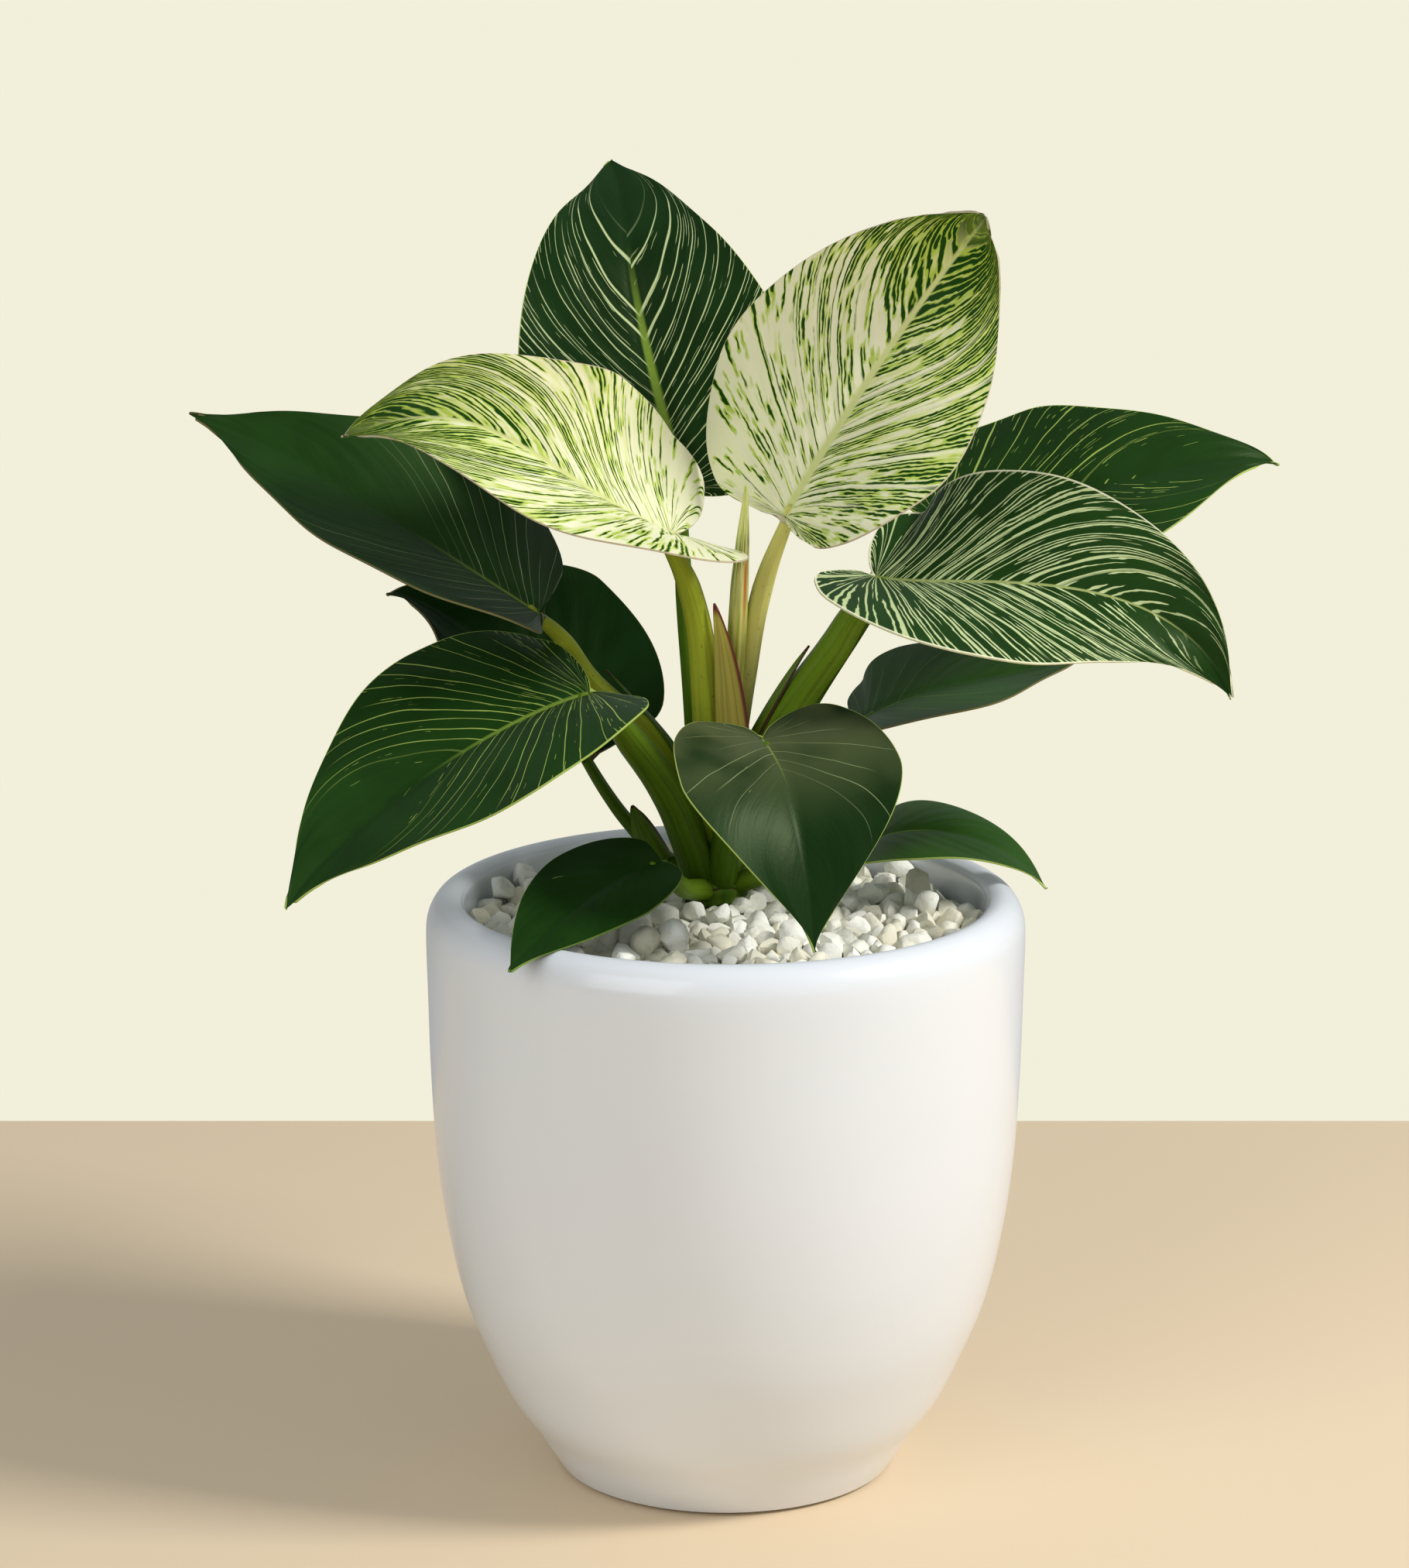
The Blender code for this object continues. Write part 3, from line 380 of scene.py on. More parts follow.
class Nodes:
    """Short calls that build one material's node tree."""

    def __init__(self, name, roughness=0.5):
        self.material = bpy.data.materials.new(name)
        self.material.use_nodes = True
        self.tree = self.material.node_tree
        self.shader = self.tree.nodes["Principled BSDF"]
        self.shader.inputs["Roughness"].default_value = roughness

    def plug(self, socket, value):
        """Link an output, or set a plain value."""
        if isinstance(value, bpy.types.NodeSocket):
            self.tree.links.new(value, socket)
        elif hasattr(value, "__len__") and len(value) == 3 and socket.type == "RGBA":
            socket.default_value = (*value, 1.0)
        else:
            socket.default_value = value

    def math(self, operation, *values):
        """Math node on one to three values."""
        node = self.tree.nodes.new("ShaderNodeMath")
        node.operation = operation
        for socket, value in zip(node.inputs, values):
            self.plug(socket, value)
        return node.outputs[0]

    def add(self, *values):
        """Sum of several values."""
        total = values[0]
        for value in values[1:]:
            total = self.math("ADD", total, value)
        return total

    def times(self, *values):
        """Product of several values."""
        total = values[0]
        for value in values[1:]:
            total = self.math("MULTIPLY", total, value)
        return total

    def step(self, value, low, high):
        """Smooth rise from 0 at low to 1 at high."""
        node = self.tree.nodes.new("ShaderNodeMapRange")
        node.interpolation_type = "SMOOTHSTEP"
        for key, part in (("Value", value), ("From Min", low), ("From Max", high)):
            self.plug(node.inputs[key], part)
        return node.outputs["Result"]

    def fall(self, value, low, high):
        """Smooth fall from 1 at low to 0 at high."""
        return self.math("SUBTRACT", 1.0, self.step(value, low, high))

    def mix(self, share, first, second):
        """Mix of two colours."""
        node = self.tree.nodes.new("ShaderNodeMix")
        node.data_type = "RGBA"
        self.plug(node.inputs[0], share)
        self.plug(node.inputs[6], first)
        self.plug(node.inputs[7], second)
        return node.outputs[2]

    def vector(self, x, y, z=0.0):
        """Vector from three values."""
        node = self.tree.nodes.new("ShaderNodeCombineXYZ")
        for socket, value in zip(node.inputs, (x, y, z)):
            self.plug(socket, value)
        return node.outputs[0]

    def split(self, vector):
        """Three values of a vector."""
        node = self.tree.nodes.new("ShaderNodeSeparateXYZ")
        self.plug(node.inputs[0], vector)
        return node.outputs

    def noise(self, vector, scale=1.0, detail=2.0, roughness=0.5):
        """Noise with a mean of one half."""
        node = self.tree.nodes.new("ShaderNodeTexNoise")
        self.plug(node.inputs["Vector"], vector)
        node.inputs["Scale"].default_value = scale
        node.inputs["Detail"].default_value = detail
        node.inputs["Roughness"].default_value = roughness
        return node.outputs[0]

    def dice(self, value):
        """Random number from 0 to 1 for a value."""
        node = self.tree.nodes.new("ShaderNodeTexWhiteNoise")
        node.noise_dimensions = "1D"
        self.plug(node.inputs["W"], value)
        return node.outputs["Value"]

    def grain(self, skin, turn_scale, long_scale, detail, roughness=0.5):
        """Noise drawn out along a round body, from the parts of its skin attribute."""
        place = self.vector(*(self.times(part, scale) for part, scale in zip(
            skin, (turn_scale, turn_scale, long_scale))))
        return self.noise(place, 1.0, detail, roughness)

    def place(self):
        """Object coordinates, in metres."""
        return self.tree.nodes.new("ShaderNodeTexCoord").outputs["Object"]

    def attribute(self, name, output="Vector"):
        """Attribute of the mesh."""
        node = self.tree.nodes.new("ShaderNodeAttribute")
        node.attribute_name = name
        return node.outputs[output]

    def bump(self, height, distance, strength=1.0):
        """Bump from a height, into the shader's normal."""
        node = self.tree.nodes.new("ShaderNodeBump")
        node.inputs["Strength"].default_value = strength
        node.inputs["Distance"].default_value = distance
        self.plug(node.inputs["Height"], height)
        self.tree.links.new(node.outputs[0], self.shader.inputs["Normal"])

    def finish(self, colour, **sockets):
        """Plug the colour and any other shader inputs, and give the material."""
        self.plug(self.shader.inputs["Base Color"], colour)
        for key, value in sockets.items():
            self.plug(self.shader.inputs[key.replace("_", " ")], value)
        return self.material


def glaze_material(settings):
    """Glossy white glaze with a bare foot."""
    n = Nodes("white_glaze", settings.gloss)
    place = n.place()
    height = n.split(place)[2]
    cloud = n.noise(place, 18.0, 2.0)
    tint = n.mix(n.step(cloud, 0.35, 0.65), tuple(settings.glaze),
                 tuple(0.985 * c for c in settings.glaze))
    foot = n.fall(height, 0.0003, 0.0009)
    colour = n.mix(foot, tint, tuple(settings.bisque))
    n.bump(n.noise(place, 60.0, 1.0), 0.00004, 0.35)
    rough = n.add(settings.gloss, n.times(foot, 0.5))
    n.shader.inputs["Coat Weight"].default_value = 0.25
    n.shader.inputs["Coat Roughness"].default_value = 0.08
    return n.finish(colour, Roughness=rough)


def soil_material(settings):
    """Moist crumbly soil."""
    n = Nodes("potting_soil", 0.92)
    place = n.place()
    grain = n.noise(place, 900.0, 4.0, 0.7)
    lump = n.noise(place, 160.0, 2.0)
    dark = tuple(0.45 * c for c in settings.soil)
    light = tuple(2.6 * c for c in settings.soil)
    colour = n.mix(n.step(grain, 0.35, 0.72), dark, tuple(settings.soil))
    colour = n.mix(n.step(n.times(grain, lump), 0.30, 0.42), colour, light)
    n.bump(n.add(grain, n.times(lump, 2.0)), 0.0012, 0.9)
    return n.finish(colour)


def stone_material(settings):
    """Off-white chips, each a little different."""
    n = Nodes("white_chips", 0.7)
    place = n.place()
    tone = n.attribute("tone", "Fac")
    stone = tuple(settings.stone)
    warm = (stone[0] * 0.92, stone[1] * 0.89, stone[2] * 0.80)
    cool = (stone[0] * 1.04, stone[1] * 1.05, stone[2] * 1.08)
    colour = n.mix(n.step(tone, 0.05, 0.45), warm, stone)
    colour = n.mix(n.step(tone, 0.5, 0.95), colour, cool)
    spot = n.noise(place, 420.0, 3.0, 0.6)
    colour = n.mix(n.times(n.step(spot, 0.52, 0.72), 0.35), colour,
                   (0.50, 0.47, 0.36))
    fleck = n.noise(place, 1500.0, 2.0)
    colour = n.mix(n.times(n.step(fleck, 0.6, 0.75), 0.25), colour, (0.88, 0.88, 0.83))
    n.bump(n.add(spot, n.times(fleck, 0.4)), 0.0005, 0.5)
    n.shader.inputs["Subsurface Weight"].default_value = 0.08
    n.shader.inputs["Subsurface Radius"].default_value = (0.002, 0.002, 0.0015)
    return n.finish(colour)


def leaf_material(key, settings):
    """Leaf skin with lines, dashes, midrib and margin that follow the blade's veins, and a
    painted sheen near the base.
    """
    look = {**PLAIN_LEAF, **MARKINGS[key]}
    n = Nodes("leaf_skin_" + key, 0.36)
    across, share, along = n.split(n.attribute("vein"))
    towards_tip, off_rib, upper = n.split(n.attribute("flat"))
    from_edge = n.attribute("from_edge", "Fac")
    foot = n.attribute("foot", "Fac")
    reach = n.math("ABSOLUTE", share)
    right = n.math("GREATER_THAN", share, 0.0)
    seed = look["seed"]

    def tone(name):
        """Colour of the settings, by its name."""
        return tuple(getattr(settings, name))

    sway = n.noise(n.vector(n.times(across, 0.12), n.times(along, 0.05), seed), 1.0, 1.0)
    wobble = n.noise(n.vector(n.times(across, 0.7), n.times(along, 0.33), seed), 1.0, 1.0)
    smooth_mm = n.add(across, n.times(n.add(sway, -0.5), 4.0), n.times(right, HALF_SHIFT))
    lane_mm = n.add(smooth_mm, n.times(n.add(wobble, -0.5), look["wobble"]))

    def lanes(place, gap, offset):
        """Number of the lane and the distance from its line, in millimetres."""
        lane = n.add(n.times(place, 1.0 / gap), seed + offset)
        number = n.math("FLOOR", lane)
        shift = n.times(n.add(n.dice(n.add(number, 0.37)), -0.5), 0.36)
        middle = n.math("ABSOLUTE", n.add(n.math("FRACT", lane), -0.5, shift))
        return number, n.times(middle, gap)

    clump = n.noise(n.vector(n.times(lane_mm, 0.11), n.times(along, 0.035), seed * 5.3),
                    1.0, 2.0)
    bias = n.add(
        look["cover"], n.times(n.add(clump, -0.5), look["patch"]),
        n.times(right, look["right"]),
        n.times(n.step(towards_tip, 0.45, 1.0), look["tip"]),
        n.times(n.fall(towards_tip, 0.0, 0.35), look["base"]),
        n.times(n.fall(from_edge, look["margin_width"] * 0.3, look["margin_width"]),
                look["margin"]))
    cell, off = lanes(lane_mm, look["dash_gap"], 3.1)
    run = n.noise(n.vector(n.times(along, look["dash_run"]), n.times(cell, 7.13), seed),
                  1.0, 2.0, 0.6)
    level = n.add(bias, 0.5, n.times(n.add(run, -0.5), look["contrast"]))
    on_blade = n.fall(foot, look["dash_foot"] - 0.2, look["dash_foot"])
    broad = n.times(look["dash_width"] * 0.5, n.add(0.65, n.times(n.dice(cell), 0.7)),
                    n.add(1.0, n.times(n.step(towards_tip, 0.5, 1.0), look["spread"])))
    width = n.times(broad, n.step(level, 0.48, 0.56))
    dash = n.times(n.fall(off, n.times(width, 0.6), n.add(width, 0.06)),
                   n.step(level, 0.49, 0.51), look["dash"], on_blade)
    halo = n.times(n.fall(off, n.times(broad, 1.1), n.add(n.times(broad, 1.1), 0.3)),
                   n.step(level, 0.44, 0.49), look["halo"], on_blade)
    streak = n.noise(n.vector(n.times(lane_mm, 0.75), n.times(along, 0.09), seed * 2.2),
                     1.0, 2.0, 0.6)
    zone = n.times(n.step(n.add(bias, n.times(streak, 0.6), look["zone_level"]), 0.26, 0.42),
                   look["zone"])

    cell, off = lanes(smooth_mm, look["line_gap"], 9.4)
    swell = n.noise(n.vector(n.times(along, 0.07), n.times(cell, 3.7), seed), 1.0, 1.0)
    width = n.times(look["line_width"] * 0.5, n.add(0.45, n.dice(cell)),
                    n.add(1.25, n.times(reach, -0.75)), n.add(0.6, n.times(swell, 0.8)))
    line = n.fall(off, n.times(width, 0.5), n.add(width, look["line_soft"]))
    ends = n.add(look["line_reach"] * 0.5, n.times(n.dice(n.add(cell, 7.7)), 0.55))
    line = n.times(line, n.fall(reach, ends, n.add(ends, 0.25)), look["line"],
                   n.fall(foot, look["line_foot"] - 0.15, look["line_foot"]),
                   n.fall(towards_tip, look["line_end"] - 0.3, look["line_end"]))

    ground = tone(look["ground"])
    shade = n.noise(n.place(), 38.0, 2.0)
    lighter = tuple(min(1.0, 1.4 * c) for c in ground)
    if look["ground"] == "cream":
        lighter = tuple(0.94 * c for c in ground)
    colour = n.mix(n.step(shade, 0.35, 0.7), ground, lighter)
    colour = n.mix(n.times(n.step(streak, 0.45, 0.65), 0.35), colour, lighter)
    colour = n.mix(zone, colour, tone("zone"))
    solid = n.times(n.step(towards_tip, 0.74, 0.92), look["tip_fill"])
    colour = n.mix(solid, colour, tone("leaf_green"))
    colour = n.mix(halo, colour, tone("halo"))
    colour = n.mix(dash, colour, tone(look["dash_tone"]))
    colour = n.mix(line, colour, tone(look["line_tone"]))

    rib = n.add(n.times(n.add(1.0, n.times(towards_tip, -0.85)), look["rib_width"]), 0.15)
    rib_off = n.math("ABSOLUTE", off_rib)
    on_rib = n.times(n.fall(rib_off, n.times(rib, 0.35), rib),
                     n.fall(towards_tip, look["rib_end"] - 0.3, look["rib_end"] + 0.05))
    colour = n.mix(on_rib, colour, tone(look["rib_tone"]))
    on_edge = n.fall(from_edge, look["edge_width"] * 0.55, look["edge_width"])
    colour = n.mix(n.times(on_edge, 0.85), colour, tone(look["edge_tone"]))

    # Painted sheen: a grey-green highlight painted in patches towards the base of the blade,
    # standing in for light falling on the satin skin.
    painted_sheen = n.times(look["painted_sheen"], n.fall(towards_tip, 0.05, 0.55), n.step(shade, 0.25, 0.55))
    colour = n.mix(n.times(painted_sheen, 0.35), colour, (0.20, 0.22, 0.10))
    under_tone = n.mix(0.35, colour, (0.15, 0.22, 0.09))
    colour = n.mix(upper, under_tone, colour)

    relief = n.add(n.times(line, -0.5), n.times(streak, 0.4), n.times(on_rib, -0.4),
                   n.times(n.noise(n.place(), 900.0, 2.0), 0.12))
    n.bump(relief, 0.00035, 0.5)
    rough = n.add(0.50, n.times(upper, -0.10), n.times(n.add(shade, -0.5), 0.12))
    n.shader.inputs["Specular IOR Level"].default_value = 0.14
    n.shader.inputs["Specular Tint"].default_value = (0.80, 1.0, 0.55, 1.0)
    return n.finish(colour, Roughness=rough)


def stalk_material(name, young, old, streak, settings):
    """Stalk skin that darkens downwards, with long ribs and streaks along it."""
    n = Nodes(name, 0.42)
    skin = n.split(n.attribute("skin"))
    height = n.split(n.place())[2]
    ribs = n.grain(skin, 2.6, 0.012, 3.0, 0.65)
    fibres = n.grain(skin, 9.0, 0.05, 2.0)
    cloud = n.grain(skin, 1.0, 0.06, 1.0)
    up = n.step(n.add(height, n.times(n.add(cloud, -0.5), 0.04)), 0.178, 0.235)
    colour = n.mix(up, old, young)
    darker = n.mix(0.55, colour, tuple(settings.deep))
    colour = n.mix(n.times(n.step(ribs, 0.46, 0.66), streak), colour, darker)
    colour = n.mix(n.times(n.step(fibres, 0.52, 0.72), 0.3 * streak), colour,
                   tuple(settings.deep))
    speck = n.noise(n.place(), 700.0, 2.0)
    colour = n.mix(n.times(n.step(speck, 0.66, 0.74), 0.35), colour, tuple(settings.brown))
    n.bump(n.add(ribs, n.times(fibres, 0.35)), 0.0005, 0.5)
    n.shader.inputs["Specular IOR Level"].default_value = 0.2
    n.shader.inputs["Specular Tint"].default_value = (0.85, 1.0, 0.45, 1.0)
    return n.finish(colour)


def stem_material(settings):
    """Stem skin with dark leaf scars round it."""
    n = Nodes("stem_skin", 0.5)
    skin = n.split(n.attribute("skin"))
    cosine, sine, along = skin
    ribs = n.grain(skin, 3.0, 0.02, 3.0, 0.6)
    tilt = n.noise(n.vector(cosine, sine, 0.0), 1.0, 1.0)
    ring = n.math("FRACT", n.add(n.times(along, 0.19), n.times(tilt, 1.6)))
    scar = n.fall(n.math("ABSOLUTE", n.add(ring, -0.5)), 0.02, 0.09)
    colour = n.mix(n.step(ribs, 0.4, 0.65), tuple(settings.fresh), tuple(settings.green))
    colour = n.mix(n.times(scar, 0.8), colour, tuple(settings.brown))
    n.bump(n.add(ribs, n.times(scar, -0.8)), 0.0008, 0.6)
    n.shader.inputs["Specular IOR Level"].default_value = 0.3
    return n.finish(colour)


def rolled_material(settings, leaf):
    """Rolled leaf: straw below, striped above, with one orange-red streak."""
    n = Nodes("rolled_leaf_skin", 0.4)
    skin = n.split(n.attribute("skin"))
    height = n.split(n.place())[2]
    ribs = n.grain(skin, 3.0, 0.02, 2.0, 0.6)
    dashes = n.grain(skin, 6.0, 0.07, 3.0, 0.6)
    stalk = n.mix(n.step(ribs, 0.40, 0.64), tuple(settings.straw), tuple(settings.yellow))
    blade = n.mix(n.step(dashes, 0.50, 0.56), tuple(settings.straw), tuple(leaf.rib_green))
    blade = n.mix(n.step(ribs, 0.45, 0.6), blade, (0.66, 0.70, 0.30))
    colour = n.mix(n.step(height, 0.240, 0.262), stalk, blade)
    turn = n.math("ARCTAN2", skin[1], skin[0])
    near = n.math("ABSOLUTE", n.add(turn, -2.25))
    streak = n.times(n.fall(near, 0.10, 0.32), n.step(height, 0.240, 0.256),
                     n.fall(height, 0.262, 0.268))
    colour = n.mix(n.times(streak, 0.85), colour, (0.50, 0.10, 0.02))
    n.bump(dashes, 0.0003, 0.5)
    n.shader.inputs["Specular IOR Level"].default_value = 0.35
    return n.finish(colour)


def sheath_material(key, settings):
    """Thin sheath with a narrow dry red-brown edge."""
    n = Nodes("sheath_skin_" + key, 0.5)
    across, along, _ = n.split(n.attribute("skin"))
    fresh = tuple(getattr(settings, SHEATH_TONES[key]))
    veins = n.noise(n.vector(n.times(across, 5.0), n.times(along, 0.4)), 1.0, 3.0, 0.6)
    colour = n.mix(n.step(veins, 0.42, 0.62), fresh, tuple(0.72 * c for c in fresh))
    side = n.times(n.step(across, 0.62, 0.86), n.step(along, 0.02, 0.25))
    tip = n.step(along, 0.91, 0.98)
    dry = tuple(settings.dry if key == "b" else settings.brown)
    colour = n.mix(n.math("MAXIMUM", side, tip), colour, dry)
    n.bump(veins, 0.0003, 0.6)
    n.shader.inputs["Specular IOR Level"].default_value = 0.3
    return n.finish(colour)


def plain_material(name, colour, roughness, grain=0.02):
    """Plain stage surface with a faint cloud in its tone."""
    n = Nodes(name, roughness)
    cloud = n.noise(n.place(), 2.0, 2.0)
    darker = tuple((1.0 - grain * 2.0) * c for c in colour)
    return n.finish(n.mix(n.step(cloud, 0.3, 0.7), colour, darker))


def clear_selection():
    """Nothing selected, so that an operator acts on what comes next alone."""
    bpy.ops.object.select_all(action="DESELECT")


def work_on(obj):
    """Select one object alone."""
    clear_selection()
    obj.select_set(True)
    bpy.context.view_layer.objects.active = obj


def apply_modifier(obj, name):
    """Apply one modifier by name."""
    work_on(obj)
    bpy.ops.object.modifier_apply(modifier=name)


def tidy_mesh(obj, distance):
    """Merge doubled points and point the faces outwards."""
    work_on(obj)
    bpy.ops.object.mode_set(mode="EDIT")
    bpy.ops.mesh.select_all(action="SELECT")
    bpy.ops.mesh.remove_doubles(threshold=distance)
    bpy.ops.mesh.normals_make_consistent(inside=False)
    bpy.ops.object.mode_set(mode="OBJECT")


def settle_piece(obj, name, material, nodes, angle=40.0):
    """Name a finished piece, give it its skin and put it on the frame."""
    obj.name = name
    obj.data.name = name
    obj.data.materials.clear()
    obj.data.materials.append(material)
    work_on(obj)
    bpy.ops.object.shade_smooth_by_angle(angle=math.radians(angle))
    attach(obj, "root")
    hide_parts(*nodes)
    return obj


def store(mesh, name, kind, values):
    """Keep one value for each point in an attribute of the mesh."""
    layer = mesh.attributes.new(name, kind, "POINT")
    field = "vector" if kind == "FLOAT_VECTOR" else "value"
    layer.data.foreach_set(field, np.asarray(values, np.float32).ravel())


def new_grid(rows, columns):
    """Flat grid with its points numbered as (row, column) along X and Y."""
    clear_selection()
    bpy.ops.mesh.primitive_grid_add(x_subdivisions=rows, y_subdivisions=columns, size=2.0)
    obj = bpy.context.object
    flat = np.zeros(len(obj.data.vertices) * 3)
    obj.data.vertices.foreach_get("co", flat)
    flat = flat.reshape(-1, 3)
    row = np.rint((flat[:, 0] + 1.0) * 0.5 * rows).astype(int)
    column = np.rint((flat[:, 1] + 1.0) * 0.5 * columns).astype(int)
    return obj, row, column


def set_points(obj, points):
    """Move all points of a mesh, given in metres."""
    obj.data.vertices.foreach_set("co", np.asarray(points, np.float32).ravel())
    obj.data.update()


def cubic(points, t):
    """Points on a curve with two end and two control points."""
    t = np.asarray(t, float)[:, None]
    p = np.asarray(points, float)
    return ((1 - t) ** 3 * p[0] + 3 * (1 - t) ** 2 * t * p[1]
            + 3 * (1 - t) * t * t * p[2] + t ** 3 * p[3])


class Midrib:
    """Midrib of a blade with a frame that turns along it."""

    def __init__(self, points, azimuth, elevation, twist):
        self.points = cubic(points, np.linspace(0.0, 1.0, 97))
        lengths = np.linalg.norm(np.diff(self.points, axis=0), axis=1)
        self.along = np.concatenate([[0.0], np.cumsum(lengths)])
        self.length = float(self.along[-1])
        slope = np.gradient(self.points, axis=0)
        self.slope = slope / np.linalg.norm(slope, axis=1)[:, None]
        az = math.radians(azimuth)
        el = math.radians(elevation)
        self.facing = np.array([math.cos(el) * math.cos(az), math.cos(el) * math.sin(az),
                                math.sin(el)])
        self.twist = math.radians(twist)

    def frames(self, u):
        """Points, tangents, upper-face normals and right-hand sides at distances u."""
        clipped = np.clip(u, 0.0, self.length)
        point = np.stack([np.interp(clipped, self.along, self.points[:, k])
                          for k in range(3)], axis=1)
        tangent = np.stack([np.interp(clipped, self.along, self.slope[:, k])
                            for k in range(3)], axis=1)
        tangent /= np.linalg.norm(tangent, axis=1)[:, None]
        point = point + tangent * (u - clipped)[:, None]
        normal = self.facing - tangent * (tangent @ self.facing)[:, None]
        normal /= np.linalg.norm(normal, axis=1)[:, None]
        side = np.cross(tangent, normal)
        turn = (self.twist * clipped / self.length)[:, None]
        return (point, tangent, normal * np.cos(turn) + side * np.sin(turn),
                side * np.cos(turn) - normal * np.sin(turn))


class Blade:
    """Shape of one blade, from its row of driving dimensions."""

    def __init__(self, row):
        (points, azimuth, elevation, twist, self.fold, self.droop, self.half_width,
         self.lobe, self.widest, self.taper, self.lift) = row
        self.rib = Midrib(points, azimuth, elevation, twist)

    def margin(self, tau):
        """Flat margin points (along, across) for tau from 0 at the sinus to 3 at the tip."""
        lobe, wide, half = self.lobe, self.widest, self.half_width
        inner = cubic(((0, 0), (-0.7 * lobe, 0.06 * half), (-lobe, 0.25 * half),
                        (-lobe, 0.5 * half)), np.clip(tau, 0.0, 1.0))
        outer = cubic(((-lobe, 0.5 * half), (-lobe, 0.79 * half),
                        (wide - 0.55 * (wide + lobe), half), (wide, half)),
                       np.clip(tau - 1.0, 0.0, 1.0))
        x = np.clip(tau - 2.0, 0.0, 1.0)
        tip = np.stack([wide + (self.rib.length - wide) * x,
                        half * np.maximum(1.0 - x ** 1.6, 0.0) ** self.taper], axis=1)
        tau = tau[:, None]
        return np.where(tau <= 1.0, inner, np.where(tau <= 2.0, outer, tip))

    def feet(self, edge):
        """Distances along the midrib at which the veins that end at edge points start."""
        length = self.rib.length
        return length * np.interp(edge[:, 0] / length, VEIN_ENDS, VEIN_FEET)

    def veins(self, tau, share):
        """Flat points at a share of the way out along the veins that end at tau.

        A vein crosses the half blade evenly, so it ends almost parallel to the margin.
        """
        outer = self.margin(np.linspace(1.0, 3.0, 401))
        edge = self.margin(tau)
        ahead = np.where(tau < 1.0, -self.lobe, edge[:, 0])
        foot = self.feet(edge)
        scale = np.where(tau < 1.0, edge[:, 1] / (0.5 * self.half_width), 1.0)
        width = np.interp(foot + (ahead - foot) * share, outer[:, 0], outer[:, 1])
        return foot + (edge[:, 0] - foot) * share, share * scale * width

    def place(self, u, v, side, rise):
        """Points of the bent blade for flat points, side +1 right and -1 left."""
        point, _, normal, right = self.rib.frames(u)
        fold = np.where(side > 0, self.fold[0], self.fold[1])
        droop = np.where(side > 0, self.droop[0], self.droop[1])
        angle = np.radians(fold) - np.radians(droop) * v / (2.0 * self.half_width)
        up = v * np.sin(angle) + np.where(u < 0.0, -self.lift * u, 0.0) + rise
        return point + right * (side * v * np.cos(angle))[:, None] + normal * up[:, None]


def leaf_rows(blade, rows):
    """Values of tau that lie evenly along the margin and the midrib together."""
    tau = np.linspace(0.0, 3.0, 1201)
    edge = blade.margin(tau)
    steps = (np.linalg.norm(np.diff(edge, axis=0), axis=1)
             + 0.8 * np.abs(np.diff(blade.feet(edge))))
    lengths = np.concatenate([[0.0], np.cumsum(steps)])
    return np.interp(np.linspace(0.0, lengths[-1], rows + 1), lengths, tau)


